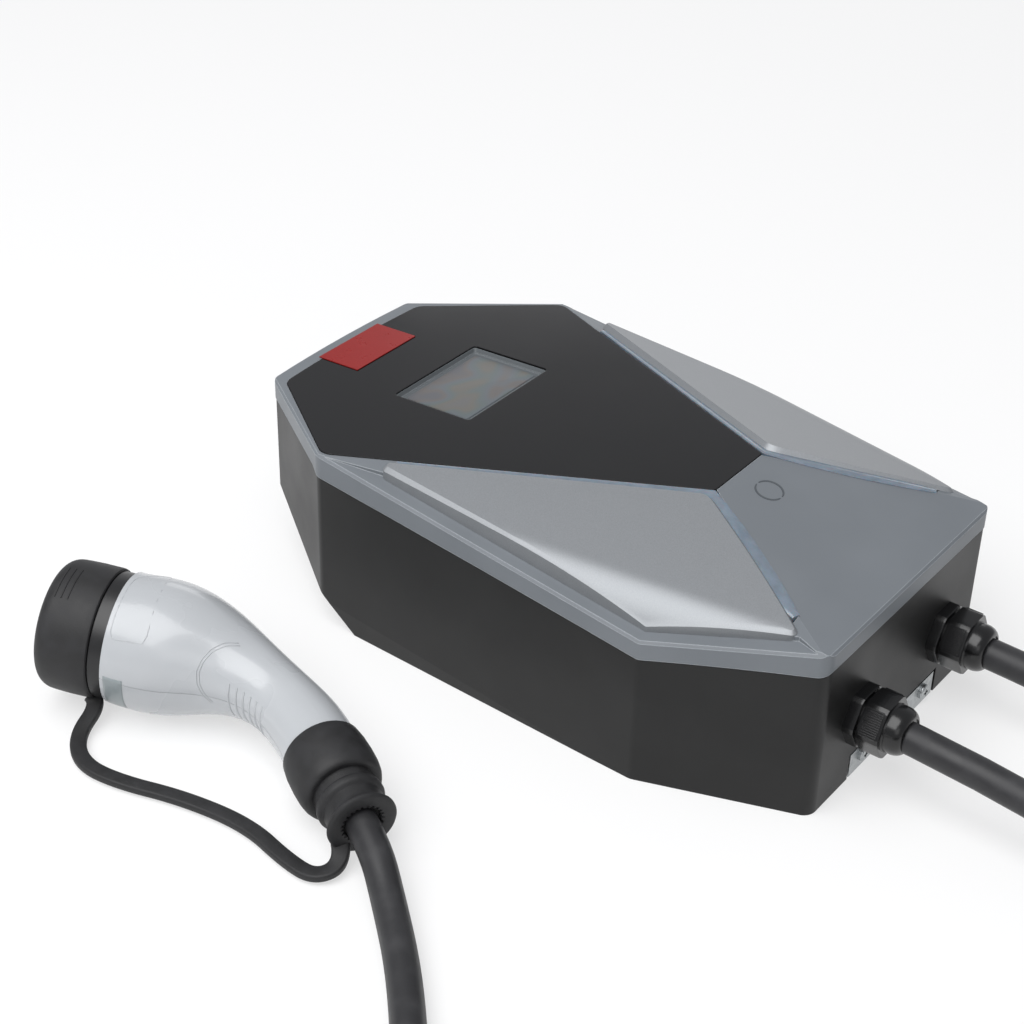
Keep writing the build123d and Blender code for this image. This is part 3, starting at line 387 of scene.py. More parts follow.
# Silver metallic lacquer on the wings: aluminium flakes, drawn at 0.22 mm to show, under clear lacquer
wingSilver = Finish("wing_silver")
spark = wingSilver.cells(0.00022)
flakeColour = wingSilver.mix(wingSilver.ramp(spark, 0, 1), "#888b8e", "#96999c")
wingSilver.set(Base_Color=flakeColour, Metallic=0.6, Roughness=wingSilver.ramp(spark, 0, 1, 0.42, 0.54))
wingSilver.set(Normal=wingSilver.bump(wingSilver.noise(0.0018, 2), 0.00001))
wingSilver.set(Coat_Weight=0.25, Coat_Roughness=0.25)

# Milky polycarbonate of the light guides
guidePlastic = Finish("guide_plastic")
haze = guidePlastic.ramp(guidePlastic.noise(0.006, 3), 0.3, 0.7)
guideColour = guidePlastic.mix(haze, "#6b7783", "#7a8692")
guidePlastic.set(Base_Color=guideColour, Roughness=0.16, Subsurface_Weight=0.35, Subsurface_Scale=0.003)
guidePlastic.set(Normal=guidePlastic.bump(guidePlastic.noise(0.0009, 2), 0.00001), Coat_Weight=0.5)

# Pad-printed ink of the ring: a dull grey, finely dotted
emblemPrint = Finish("emblem_print")
dots = emblemPrint.noise(0.0004, 2)
emblemPrint.set(Base_Color=emblemPrint.mix(dots, "#484d51", "#50555a"), Roughness=0.5)

# Zinc-plated steel: faint spangle and rolling marks
zincSteel = Finish("zinc_steel")
spangle = zincSteel.cells(0.004)
stretched = zincSteel.node("Mapping", Vector=zincSteel.where, Scale=(1, 30, 30)).outputs[0]
rolled = zincSteel.noise(0.02, 4, stretched)
zincSteel.set(Base_Color=zincSteel.mix(spangle, "#a7abad", "#bcbfc0"), Metallic=0.9)
zincSteel.set(Roughness=zincSteel.ramp(rolled, 0.3, 0.7, 0.28, 0.42))
zincSteel.set(Normal=zincSteel.bump(rolled, 0.00002, zincSteel.softEdge(0.0003)))

# Glass-fibre board under green solder mask: slightly glossy
boardGreen = moulded("board_green", "#1f4d33", "#245a3b", rough=0.35, grain=0.0006, depth=0.00003)

# Plated metal case of the power supply and the current sensor
supplyMetal = moulded("supply_metal", "#5c6064", "#686c70", edge=0.0004)

# Glossy black nylon of the glands, with a painted highlight along its edges
glandNylon = moulded(
    "gland_nylon", "#0c0c0d", "#101011", rough=0.24, grain=0.0006, depth=0.00001, edge=0.0003, coat=0.2,
    paintedHighlight="#222224", shine=0.45
)

# Glossy light ABS/PC of the connector shells
shellWhite = moulded(
    "shell_white", "#b3b6b9", "#b7babd", rough=0.27, grain=0.0016, depth=0.00001, edge=0.0004,
    coat=0.35, mottle=0.05
)

# Bare grey sticker on the near side of the shell
stickerGrey = moulded(
    "sticker_grey", "#848c8e", "#8d9597", rough=0.35, grain=0.0008, depth=0.00001,
    coat=0.2, slot="module_plastic"
)

# Satin black PBT of the connector front
connectorBlack = moulded("connector_black", "#161617", "#1c1c1d", rough=0.38, edge=0.0005)

# Silver-plated brass of the contact sleeves: bright, with turning marks
contactBrass = Finish("contact_brass")
turned = contactBrass.ramp(contactBrass.noise(0.0006, 3), 0, 1, 0.2, 0.35)
contactBrass.set(Base_Color="#c9c4b4", Metallic=1.0, Roughness=turned)

# Soft matt rubber of cap, strap, ring and boot: chalky bloom and fine tooling grain
capRubber = Finish("cap_rubber")
bloom = capRubber.noise(0.009, 5)
bloomColour = capRubber.mix(capRubber.ramp(bloom, 0.4, 0.75), "#1c1c1d", "#28282a")
capRubber.set(Base_Color=bloomColour, Roughness=capRubber.ramp(bloom, 0.3, 0.7, 0.52, 0.66))
capRubber.set(Normal=capRubber.bump(capRubber.noise(0.0006, 3), 0.00005))

# Polyurethane cable jacket: fine drawn grain, slight dust
cableRubber = Finish("cable_rubber")
dust = cableRubber.noise(0.012, 5)
jacketColour = cableRubber.mix(cableRubber.ramp(dust, 0.45, 0.8), "#28282a", "#38383a")
cableRubber.set(Base_Color=jacketColour, Roughness=cableRubber.ramp(dust, 0.3, 0.7, 0.42, 0.56))
cableRubber.set(Normal=cableRubber.bump(cableRubber.noise(0.0005, 3), 0.00004))

# Woven hook-and-loop tie: crossed ribs of some 5 mm, drawn coarse, with a faint sheen
tieFabric = Finish("tie_fabric")
warp = tieFabric.node("TexWave", Scale=1 / 0.006, Vector=tieFabric.where, bands_direction="DIAGONAL")
weft = tieFabric.node("TexWave", Scale=1 / 0.0045, Vector=tieFabric.where, bands_direction="Z")
weave = tieFabric.node("Math", warp.outputs["Fac"], weft.outputs["Fac"], operation="MULTIPLY").outputs[0]
tieFabric.set(Base_Color=tieFabric.mix(weave, "#191a1c", "#303236"), Roughness=0.85)
tieFabric.set(Normal=tieFabric.bump(weave, 0.0003), Sheen_Weight=0.3)

# Tinned copper at the ends of the cores: soft metal shine
ferruleTin = Finish("ferrule_tin")
pressed = ferruleTin.ramp(ferruleTin.noise(0.0008, 2), 0, 1, 0.25, 0.4)
ferruleTin.set(Base_Color="#b9babb", Metallic=1.0, Roughness=pressed)

# PVC insulation of the cores
coreColours = {
    "core_brown": ("#5a3418", "#613a1c"),
    "core_black": ("#19191a", "#202021"),
    "core_grey": ("#7f8285", "#888b8e"),
    "core_blue": ("#1d5fae", "#2467b5"),
}
coreFinishes = [
    moulded(name, *codes, depth=0.00001, slot="core_plastic") for name, codes in coreColours.items()
]

# Green and yellow stripes along the earth core
coreEarth = Finish("core_earth", "core_plastic")
stripe = coreEarth.node("SeparateXYZ", Vector=coreEarth.where).outputs[2]
split = coreEarth.ramp(stripe, 0.00825, 0.00835)
coreEarth.set(Base_Color=coreEarth.mix(split, "#2f7d32", "#e2c51b"), Roughness=0.4)
coreFinishes.append(coreEarth)
print("finishes made")

for finish, names in (
    (tubAbs, "rear_housing"),
    (coverGrey, "front_cover"),
    (sealRubber, "cover_seal left_gland_seal right_gland_seal"),
    (panelGloss, "front_panel"),
    (badgeRed, "badge_plate"),
    (modulePlastic, "display_module terminal_block"),
    (connectorBlack, "power_relays connector_collar connector_nose contact_carrier"),
    (supplyMetal, "current_sensor power_supply"),
    (zincSteel, "wall_bracket bracket_screws cover_screws"),
    (boardGreen, "control_board"),
    (glandNylon, "left_gland_locknut right_gland_locknut"),
    (shellWhite, "connector_shell_upper connector_shell_lower"),
    (contactBrass, "contact_sleeves"),
    (ferruleTin, "core_ferrules"),
):
    for name in names.split():
        dress(nodes[name], finish)

# Wings and light guides, worked out in millimetres on the left side and mirrored for the right
cover = {
    "apexHeight": 118.6,
    "apexY": -81.7,
    "kiteRise": 0.20232,
    "panelFall": 0.05774,
    "sideRise": (0.24419, 0.054105),
    "shoulder": (-109.6, 108.6, 107.7),
    "turn": (-22.8, -81.7),
    "foot": (-85.5, -185.0, 97.7),
    "waist": (-114.0, -99.2, 85.4),
    "ledgeShoulder": (-99.0, 108.4, 109.7),
    "ledgeWaist": (-103.94, -95.86, 87.4),
}


def innerLevel(x, y):
    shoulder, (riseX, riseY) = cover["shoulder"], cover["sideRise"]
    return shoulder[2] + riseX * (x - shoulder[0]) + riseY * (y - shoulder[1])


def kiteLevel(y):
    return cover["apexHeight"] + cover["kiteRise"] * (y - cover["apexY"])


def panelLevel(y):
    return cover["apexHeight"] - cover["panelFall"] * (y - cover["apexY"])


def planeThrough(*corners):
    a, b, c = [Vector(corner) for corner in corners]
    normal = (b - a).cross(c - a)
    return lambda x, y: a.z - (normal.x * (x - a.x) + normal.y * (y - a.y)) / normal.z


def raisedSpot(x, y, rise):
    return (x, y, innerLevel(x, y) + rise)


wing = {
    "tip": Vector((-102.6, 70.0)),
    "waist": Vector((-106.8, -98.4)),
    "foot": Vector((-79.9, -168.0)),
    "innerTurn": Vector((-26.4, -81.5)),
    "innerTip": Vector((-95.6, 70.1)),
    "bevels": [(2.2, 0.9), (1.3, 1.8), (1.8, 3.4), (3.4, 2.6), (1.4, 1.6)],
    "rounds": [0.7, 1.0, 2.6, 4.0, 0.7],
    "top": [(-102.6, 70.0, 4.2), (-22.8, -81.7, 3.8), (-81.5, -167.0, 2.0)],
    "fold": (-81.5, -167.0),
    "foldWay": (-0.988, -0.155),
    "drop": 10.0,
    "dropReach": 14.36,
    "dropStart": 5.0,
    "dropPower": 2.3,
    "bow": -1.2,
    "steps": 26,
    "rings": 36,
    "smoothTo": 24,
}
topPlane = planeThrough(*[raisedSpot(*corner) for corner in wing["top"]])
ledgeAlong = planeThrough(cover["shoulder"], cover["waist"], cover["ledgeShoulder"])
ledgeFoot = planeThrough(cover["waist"], cover["foot"], cover["ledgeWaist"])


def wingTop(x, y):
    # A plane that sinks softly towards the waist
    (foldX, foldY), (wayX, wayY) = wing["fold"], wing["foldWay"]
    away = (x - foldX) * wayX + (y - foldY) * wayY + wing["dropStart"]
    share = away / (wing["dropReach"] + wing["dropStart"])
    return topPlane(x, y) - wing["drop"] * max(share, 0) ** wing["dropPower"]


def leftOf(way):
    return Vector((-way.y, way.x))


def wingOutline():
    # Points of the top edge and, for each, its way out and its bevel width
    corners = [wing["tip"], wing["waist"], wing["foot"], wing["innerTurn"], wing["innerTip"]]
    count = len(corners)
    lines = []
    for index in range(count):
        start, finish = corners[index], corners[(index + 1) % count]
        way = (finish - start).normalized()
        inside = leftOf(way)
        first, last = wing["bevels"][index]
        lines.append((start + inside * first, finish + inside * last))
    inner = []
    for index in range(count):
        (a, b), (c, d) = lines[index - 1], lines[index]
        r, s = b - a, d - c
        share = ((c.x - a.x) * s.y - (c.y - a.y) * s.x) / (r.x * s.y - r.y * s.x)
        inner.append(a + r * share)
    loop = []
    for index in range(count):
        here, after = inner[index], inner[(index + 1) % count]
        way = (after - here).normalized()
        cutStart = wing["rounds"][index]
        cutEnd = wing["rounds"][(index + 1) % count]
        long = (after - here).length
        first, last = wing["bevels"][index]
        for step in range(wing["steps"] + 1):
            share = step / wing["steps"]
            along = cutStart + (long - cutStart - cutEnd) * share
            spot = here + way * along
            bow = wing["bow"] * sin(pi * along / long) if index == 2 else 0
            loop.append((spot + leftOf(way) * bow, -leftOf(way), first + (last - first) * share))
        nextWay = (inner[(index + 2) % count] - after).normalized()
        start, finish = after - way * cutEnd, after + nextWay * cutEnd
        nextFirst = wing["bevels"][(index + 1) % count][0]
        for step in range(1, 6):
            share = step / 6
            spot = start * (1 - share) ** 2 + after * 2 * share * (1 - share) + finish * share**2
            out = (-leftOf(way) * (1 - share) - leftOf(nextWay) * share).normalized()
            loop.append((spot, out, last + (nextFirst - last) * share))
    return loop


def wallFoot(x, y):
    return min(max(ledgeAlong(x, y), ledgeFoot(x, y)) - 1.0, innerLevel(x, y) - 1.5)


def makeWing(name, side):
    loop = wingOutline()
    size = len(loop)
    centre = sum((spot for spot, out, wide in loop), Vector((0, 0))) / size
    foot, lip = [], []
    for spot, out, wide in loop:
        edge = spot + out * wide
        low = wingTop(spot.x, spot.y) - wide
        foot.append(Vector((edge.x, edge.y, min(wallFoot(edge.x, edge.y), low - 0.5))))
        lip.append(Vector((edge.x, edge.y, low)))
    rings = [foot, lip]
    for count in range(wing["rings"]):
        share = 1 - count / wing["rings"]
        heres = [centre + (spot - centre) * share for spot, out, wide in loop]
        rings.append([Vector((here.x, here.y, wingTop(here.x, here.y))) for here in heres])
    points = [point for ring in rings for point in ring]
    points.append(Vector((centre.x, centre.y, wingTop(centre.x, centre.y))))
    faces = bandFaces(len(rings), size)
    last = (len(rings) - 1) * size
    faces += [(last + index, last + (index + 1) % size, last + size) for index in range(size)]
    faces.append(tuple(reversed(range(size))))
    points = [Vector((-side * point.x, point.y, point.z)) * 0.001 for point in points]
    return meshPiece(name, points, faces, wing["smoothTo"])


guide = {
    "start": 68.6,
    "end": -159.4,
    "innerAway": -0.9,
    "outerAway": 5.6,
    "kiteBow": 2.6,
    "wingBow": 4.2,
    "footNarrower": 2.6,
    "crown": 0.95,
    "edge": 0.45,
    "under": -1.8,
    "across": 6,
    "steps": 30,
}


def makeGuide(name, side):
    # A strip with a crowned top, straight beside the panel and crescent-shaped beside the lower facet
    shoulder, turnSpot, footSpot = [Vector(cover[word][:2]) for word in ("shoulder", "turn", "foot")]
    first, second = (turnSpot - shoulder).normalized(), (footSpot - turnSpot).normalized()
    firstOut, secondOut = Vector((first.y, -first.x)), Vector((second.y, -second.x))
    both = (firstOut + secondOut) / (1 + firstOut.dot(secondOut))
    startLong = (guide["start"] - shoulder.y) / first.y
    firstLong = (turnSpot - shoulder).length
    secondLong = (guide["end"] - turnSpot.y) / second.y
    stations = []
    for step in range(guide["steps"] + 1):
        share = step / guide["steps"]
        spot = shoulder + first * (startLong + (firstLong - startLong) * share)
        out = firstOut if share < 1 else both
        stations.append((spot, out, 0.1, guide["outerAway"]))
    for step in range(1, guide["steps"] + 1):
        share = step / guide["steps"]
        bulge = sin(pi * share) ** 0.8 if share < 1 else 0
        inner = guide["innerAway"] * share - guide["kiteBow"] * bulge
        outer = guide["outerAway"] - guide["footNarrower"] * share + guide["wingBow"] * bulge
        stations.append((turnSpot + second * (secondLong * share), secondOut, inner, outer))
    points = []
    wide = guide["across"] + 3
    for spot, out, inner, outer in stations:
        for count in range(wide):
            share = min(max((count - 1) / guide["across"], 0), 1)
            here = spot + out * (inner + (outer - inner) * share)
            rise = guide["edge"] + (guide["crown"] - guide["edge"]) * sin(pi * share) ** 0.6
            if count == 0 or count == wide - 1:
                rise = guide["under"]
            level = min(innerLevel(here.x, here.y), kiteLevel(here.y), panelLevel(here.y))
            points.append(Vector((-side * here.x, here.y, level + rise)) * 0.001)
    faces = bandFaces(len(stations), wide) + endFaces(len(stations), wide)
    return meshPiece(name, points, faces, 40)


for word, side in (("left", 1), ("right", -1)):
    settle(makeWing(word + "_wing_shell", side), wingSilver, word + "_wing")
    settle(makeGuide(word + "_light_strip", side), guidePlastic, word + "_light_guide")
print("wings made")

# Display: a stepped liner down the window's walls and a raised lens inside it, as insets and rises
display = {
    "halfWide": 35.45,
    "low": 65.4,
    "high": 116.9,
    "corner": 1.6,
    "liner": [
        (0, -4.9), (0, -0.5), (0.5, -0.35), (1.5, -2.3), (1.9, -2.45),
        (2.1, -2.2), (2.5, -2.2), (2.8, -2.6), (4.4, -2.9), (4.4, -4.9),
    ],
    "lens": [(4.5, -6.4), (4.5, -2.75), (4.9, -2.45), (5.6, -2.4)],
}


def windowRings(steps):
    middle = (display["low"] + display["high"]) / 2
    halfHigh = (display["high"] - display["low"]) / 2
    points = []
    for inset, rise in steps:
        for x, y in cornerSpots(display["halfWide"] - inset, halfHigh - inset, display["corner"], 15, 7):
            points.append(Vector((x, middle + y, panelLevel(middle + y) + rise)) * 0.001)
    return points


liner, lens = windowRings(display["liner"]), windowRings(display["lens"])
linerRows, lensRows = len(display["liner"]), len(display["lens"])
around = len(lens) // lensRows
linerPiece = meshPiece("display_liner", liner, bandFaces(linerRows, around, True), 25)
lensPiece = meshPiece("display_lens", lens, bandFaces(lensRows, around) + endFaces(lensRows, around), 25)
settle(linerPiece, displayFrame, "display_frame")
settle(lensPiece, displayGlass, "display_glass")

# Printed ring of two arcs on the lower facet
emblem = {
    "y": -99.9,
    "radius": 7.3,
    "wide": 1.3,
    "rise": 0.2,
    "gap": 14,
    "turn": 90,
    "steps": 40,
    "profile": ((-0.5, -0.2), (-0.42, 1), (0.42, 1), (0.5, -0.2)),
}
slope = sqrt(1 + cover["kiteRise"] ** 2)
points, faces = [], []
for half in (0, 180):
    base = len(points)
    for step in range(emblem["steps"] + 1):
        share = step / emblem["steps"]
        angle = radians(half + emblem["turn"] + emblem["gap"] / 2 + (180 - emblem["gap"]) * share)
        thin = emblem["wide"] * (0.35 + 0.65 * sin(pi * share) ** 0.5)
        for reach, rise in emblem["profile"]:
            radius = emblem["radius"] + thin * reach
            y = emblem["y"] + radius * sin(angle) / slope
            points.append(Vector((radius * cos(angle), y, kiteLevel(y) + emblem["rise"] * rise)) * 0.001)
    arcFaces = bandFaces(emblem["steps"] + 1, 4) + endFaces(emblem["steps"] + 1, 4)
    faces += [tuple(base + corner for corner in face) for face in arcFaces]
settle(meshPiece("ring_print", points, faces, 40), emblemPrint, "ring_emblem")
print("display made")

# Connector: its axis runs straight, round an arc and straight again, in a plane that sinks to the rear
plug = {
    "origin": Vector((-0.2199, 0.1436, 0.0368)),
    "heading": radians(23),
    "sink": radians(5.2),
    "front": 0.02688,
    "arc": 0.118,
    "turn": radians(50),
}
plugX = Vector((1, 0, 0))
plugY = Vector((0, cos(plug["sink"]), sin(plug["sink"])))
plugUp = Vector((0, -sin(plug["sink"]), cos(plug["sink"])))


def plugAt(along):
    # Place on the axis, way to the rear and way to the near side
    heading, arc = plug["heading"], plug["arc"]
    start = Vector((sin(heading), -cos(heading))) * min(along, plug["front"])
    angle = heading - min(max(along - plug["front"], 0) / arc, plug["turn"])
    centre = start + Vector((-cos(heading), -sin(heading))) * arc if along > plug["front"] else start
    spot = centre + Vector((cos(angle), sin(angle))) * arc if along > plug["front"] else start
    straight = max(along - plug["front"] - arc * plug["turn"], 0)
    spot += Vector((sin(angle), -cos(angle))) * straight
    rear = plugX * sin(angle) - plugY * cos(angle)
    near = -plugX * cos(angle) - plugY * sin(angle)
    return plug["origin"] + plugX * spot.x + plugY * spot.y, rear, near


def lathe(name, stations, sides, shape):
    # Rings round the connector's axis, from millimetre pairs of place along it and radius
    points = []
    for along, radius in stations:
        centre, rear, near = plugAt(along * 0.001)
        for count in range(sides):
            angle = 2 * pi * count / sides
            reach = shape(radius * 0.001, angle)
            points.append(centre + (plugUp * cos(angle) + near * sin(angle)) * reach)
    return meshPiece(name, points, bandFaces(len(stations), sides) + endFaces(len(stations), sides), 35)


def plain(radius, angle):
    return radius


def toothed(radius, angle):
    # Small teeth round the ring's bore
    if radius > ringBore["reach"]:
        return radius
    return radius + ringBore["tooth"] * (1 if sin(ringBore["teeth"] * angle) > 0 else -0.15)


ringBore = {"reach": 0.0115, "tooth": 0.0009, "teeth": 24}
capStations = [
    (-8.4, 30.2), (-8.0, 30.4), (-7.8, 33.2), (-8.3, 34.0), (-9.2, 34.3), (-20.0, 34.4), (-27.0, 34.2),
]
for step in range(1, 13):
    angle = pi / 2 * step / 12
    capStations.append((-29.7 - 8.0 * sin(angle), 34.0 - 7.0 * (1 - cos(angle))))
capStations += [(-37.7, 24.0), (-37.5, 22.5), (-37.5, 0.3)]
bootStations = [
    (136.2, 19.3), (136.2, 19.9), (137.0, 20.5), (143.0, 21.3), (151.0, 21.6), (158.0, 21.4), (162.0, 20.8),
    (164.3, 19.9), (165.3, 18.8), (165.5, 17.8), (165.2, 15.8), (169.8, 15.4), (170.4, 16.0), (171.2, 16.9),
    (172.2, 17.2), (174.4, 17.2), (175.3, 16.8), (175.9, 15.9), (176.6, 15.2), (181.5, 15.2), (184.0, 15.6),
    (185.2, 16.2), (185.2, 8.6),
]
ringStations = [
    (185.4, 9.6), (185.4, 16.2), (185.9, 17.2), (186.6, 17.7), (187.4, 17.7),
    (188.1, 17.2), (188.5, 16.3), (188.5, 10.6), (188.1, 9.9), (185.4, 9.6),
]
protectiveCap = lathe("cap_moulding", capStations, 96, plain)
boot = lathe("boot_moulding", bootStations, 96, plain)
strapRing = lathe("ring_moulding", ringStations, 192, toothed)
settle(protectiveCap, capRubber, "protective_cap", body="cap")
settle(boot, capRubber, "connector_boot")
settle(strapRing, capRubber, "strap_ring")

# What lies on the shell is laid onto its surface
shellTrees = [surfaceTree(nodes[name]) for name in ("connector_shell_upper", "connector_shell_lower")]


def onShell(along, degreesRound, lift):
    # A ray that falls into the parting seam takes its depth from beside it
    centre, rear, near = plugAt(along * 0.001)
    angle = radians(degreesRound)
    out = plugUp * cos(angle) + near * sin(angle)
    reach = 0.0
    for beside in (0, 2, -2):
        aside = plugUp * cos(angle + radians(beside)) + near * sin(angle + radians(beside))
        for tree in shellTrees:
            spot, normal, index, distance = tree.ray_cast(centre + aside * 0.06, -aside)
            if spot is not None and distance < 0.06:
                reach = max(reach, 0.06 - distance)
        if reach > 0:
            break
    return centre + out * (reach + lift)


def ridge(name, route, wide, high, closed=False):
    # A fine raised line along a route of (place along the axis, angle round it) on the shell
    path = [onShell(along, angle, 0) for along, angle in route]
    points = []
    size = len(path)
    for index, spot in enumerate(path):
        before = path[index - 1] if closed or index else spot
        after = path[(index + 1) % size] if closed or index < size - 1 else spot
        way = (after - before).normalized()
        along, angle = route[index]
        out = (onShell(along, angle, 0.01) - spot).normalized()
        side = way.cross(out).normalized()
        share = 1 if closed else min(min(index, size - 1 - index) / 3 + 0.15, 1)
        for across, rise in ((-0.5, -0.3), (-0.3, 0.7), (0, 1.0), (0.3, 0.7), (0.5, -0.3)):
            points.append(spot + side * (across * wide) + out * (rise * high * share))
    faces = bandFaces(size, 5, closed)
    if not closed:
        faces += endFaces(size, 5)
    return settle(meshPiece(name, points, faces, 50), shellWhite)


def between(corners, steps, closed=True):
    route = []
    pairs = list(zip(corners, corners[1:] + corners[:1])) if closed else list(zip(corners[:-1], corners[1:]))
    for (a, b), (c, d) in pairs:
        route += [(a + (c - a) * step / steps, b + (d - b) * step / steps) for step in range(steps)]
    return route if closed else route + [corners[-1]]


def roundedRoute(corners, cut):
    # Corners cut twice, so that the route turns softly
    route = corners
    for count in range(2):
        cutRoute = []
        for (a, b), (c, d) in zip(route, route[1:] + route[:1]):
            cutRoute += [(a + (c - a) * cut, b + (d - b) * cut), (c - (c - a) * cut, d - (d - b) * cut)]
        route = cutRoute
    return route


shell = {
    "label": [(2.5, -14), (17, -42), (22, 50), (2.5, 52)],
    "labelCut": 0.09,
    "labelLine": (0.0006, 0.00016),
    "thumbArcs": [
        [(66, 8), (61, 18), (56.5, 34), (54.5, 48), (54, 62), (56, 76), (59.5, 88), (65, 100)],
        [(67.5, 10), (62.5, 20), (58, 35), (56, 48), (55.5, 62), (57.5, 75), (61, 87), (66, 98)],
    ],
    "thumbLine": (0.0007, 0.0002),
    "grips": 6,
    "gripFirst": 74.0,
    "gripPitch": 5.2,
    "gripRound": (62, 118),
    "gripLean": 4.0,
    "gripSteps": 14,
    "gripLine": (0.0013, 0.0006),
    "stickerAlong": (2.0, 12.5),
    "stickerRound": (86, 126),
    "stickerLift": 0.00018,
    "stickerThick": 0.0003,
}
ridge("label_frame", between(roundedRoute(shell["label"], shell["labelCut"]), 5), *shell["labelLine"], True)
for count, arc in enumerate(shell["thumbArcs"]):
    ridge("thumb_arc_%d" % count, between(arc, 4, False), *shell["thumbLine"])
for count in range(shell["grips"]):
    along = shell["gripFirst"] + shell["gripPitch"] * count
    start, end = shell["gripRound"]
    route = between([(along, start), (along + shell["gripLean"], end)], shell["gripSteps"], False)
    ridge("grip_ridge_%d" % count, route, *shell["gripLine"])

# Sticker on the near side of the shell
points, faces = [], []
rows, columns = 8, 12
(alongStart, alongEnd), (roundStart, roundEnd) = shell["stickerAlong"], shell["stickerRound"]
for row in range(rows + 1):
    for column in range(columns + 1):
        along = alongStart + (alongEnd - alongStart) * row / rows
        degreesRound = roundStart + (roundEnd - roundStart) * column / columns
        points.append(onShell(along, degreesRound, shell["stickerLift"]))
for row in range(rows):
    for column in range(columns):
        start = row * (columns + 1) + column
        faces.append((start, start + 1, start + columns + 2, start + columns + 1))
sticker = meshPiece("shell_sticker", points, faces)
solidify = sticker.modifiers.new("thickness", "SOLIDIFY")
solidify.thickness = shell["stickerThick"]
solidify.offset = -1
settle(sticker, stickerGrey)

# Three short grip lines on the cap's front
capLines = {
    "count": 3, "first": 0.024, "pitch": 0.0035,
    "start": -6, "sweep": 34, "steps": 8, "radius": 0.00035,
}
capTree = surfaceTree(protectiveCap)
for count in range(capLines["count"]):
    path = []
    for step in range(capLines["steps"] + 1):
        centre, rear, near = plugAt(0)
        angle = radians(capLines["start"] + capLines["sweep"] * step / capLines["steps"])
        out = plugUp * cos(angle) + near * sin(angle)
        outside = centre - rear * (capLines["first"] + capLines["pitch"] * count) + out * 0.05
        path.append(capTree.ray_cast(outside, -out)[0] + out * 0.0001)
    settle(splineCurve("cap_line_%d" % count, path, capLines["radius"], 4), capRubber, body="cap")
print("connector made")

# Strap from the cap to the ring: a flat rubber band swept along its route, its ends inside both mouldings
strap = {
    "wide": 0.0084,
    "thick": 0.0042,
    "round": 0.0013,
    "flare": 1.12,
    "capFlare": 0.10,
    "ringFlare": 0.07,
    "intoCap": 0.002,
    "intoRing": 0.0025,
    "stillTo": (-0.2595, 0.023, 0.003),
    "movingFrom": (-0.2445, 0.138, 0.008),
}


def strapWide(share):
    # Wider where it runs into the cap and the ring
    ends = max(1 - share / strap["capFlare"], 1 - (1 - share) / strap["ringFlare"], 0)
    return strap["wide"] * (1 + (strap["flare"] - 1) * ends**2)


def sweepBand(name, path):
    points = []
    size = len(path)
    for index, spot in enumerate(path):
        way = (path[min(index + 1, size - 1)] - path[max(index - 1, 0)]).normalized()
        side = way.cross(Vector((0, 0, 1))).normalized()
        up = side.cross(way)
        halfWide = strapWide(index / (size - 1)) / 2
        for rise, across in cornerSpots(strap["thick"] / 2, halfWide, strap["round"], 30, 4):
            points.append(spot + up * rise + side * across)
    return meshPiece(name, points, bandFaces(size, 16) + endFaces(size, 16), 50)


def rootIn(piece, spot, into):
    # Where the strap's end lies inside the moulding that carries it
    skin = surfaceTree(piece).find_nearest(spot)[0]
    return skin + (skin - Vector(spot)).normalized() * into


capRoot = rootIn(protectiveCap, strapPoints[0], strap["intoCap"])
ringRoot = rootIn(strapRing, strapPoints[-1], strap["intoRing"])
strapPath = splinePath([capRoot] + strapPoints + [ringRoot], 12)
capStrap = sweepBand("strap_moulding", strapPath)
dress(capStrap, capRubber)
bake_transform(capStrap)
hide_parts("cap_strap")
print("strap made")

# Ties round the coil: closed woven bands with thicker edges
tie = {
    "turns": (0, 100, 220),
    "reach": 0.090,
    "level": 0.01827,
    "halfWide": 0.0344,
    "halfHigh": 0.0173,
    "corner": 0.008,
    "wide": 0.020,
    "thick": 0.0014,
    "edges": ((-0.5, 0), (-0.46, 0.5), (-0.4, 0.62), (0, 0.55), (0.4, 0.62), (0.46, 0.5), (0.5, 0)),
}


def makeTie(name, degreesRound):
    way = Vector((cos(radians(degreesRound)), sin(radians(degreesRound)), 0))
    across = Vector((-way.y, way.x, 0))
    middle = coil["centre"] + way * tie["reach"] + Vector((0, 0, tie["level"]))
    loop = [Vector(spot) for spot in cornerSpots(tie["halfWide"], tie["halfHigh"], tie["corner"], 11.25, 9)]
    profile = list(tie["edges"]) + [(x, -rise) for x, rise in reversed(tie["edges"])]
    points = []
    for index, spot in enumerate(loop):
        out = (loop[(index + 1) % len(loop)] - loop[index - 1]).normalized()
        for x, rise in profile:
            here = spot + Vector((out.y, -out.x)) * (rise * tie["thick"])
            points.append(middle + way * here.x + Vector((0, 0, here.y)) + across * (x * tie["wide"]))
    return meshPiece(name, points, bandFaces(len(loop), len(profile), True), 60)


ties = join("coil_ties", [makeTie("tie_%d" % turnDegrees, turnDegrees) for turnDegrees in tie["turns"]])
settle(ties, tieFabric, "coil_tie")

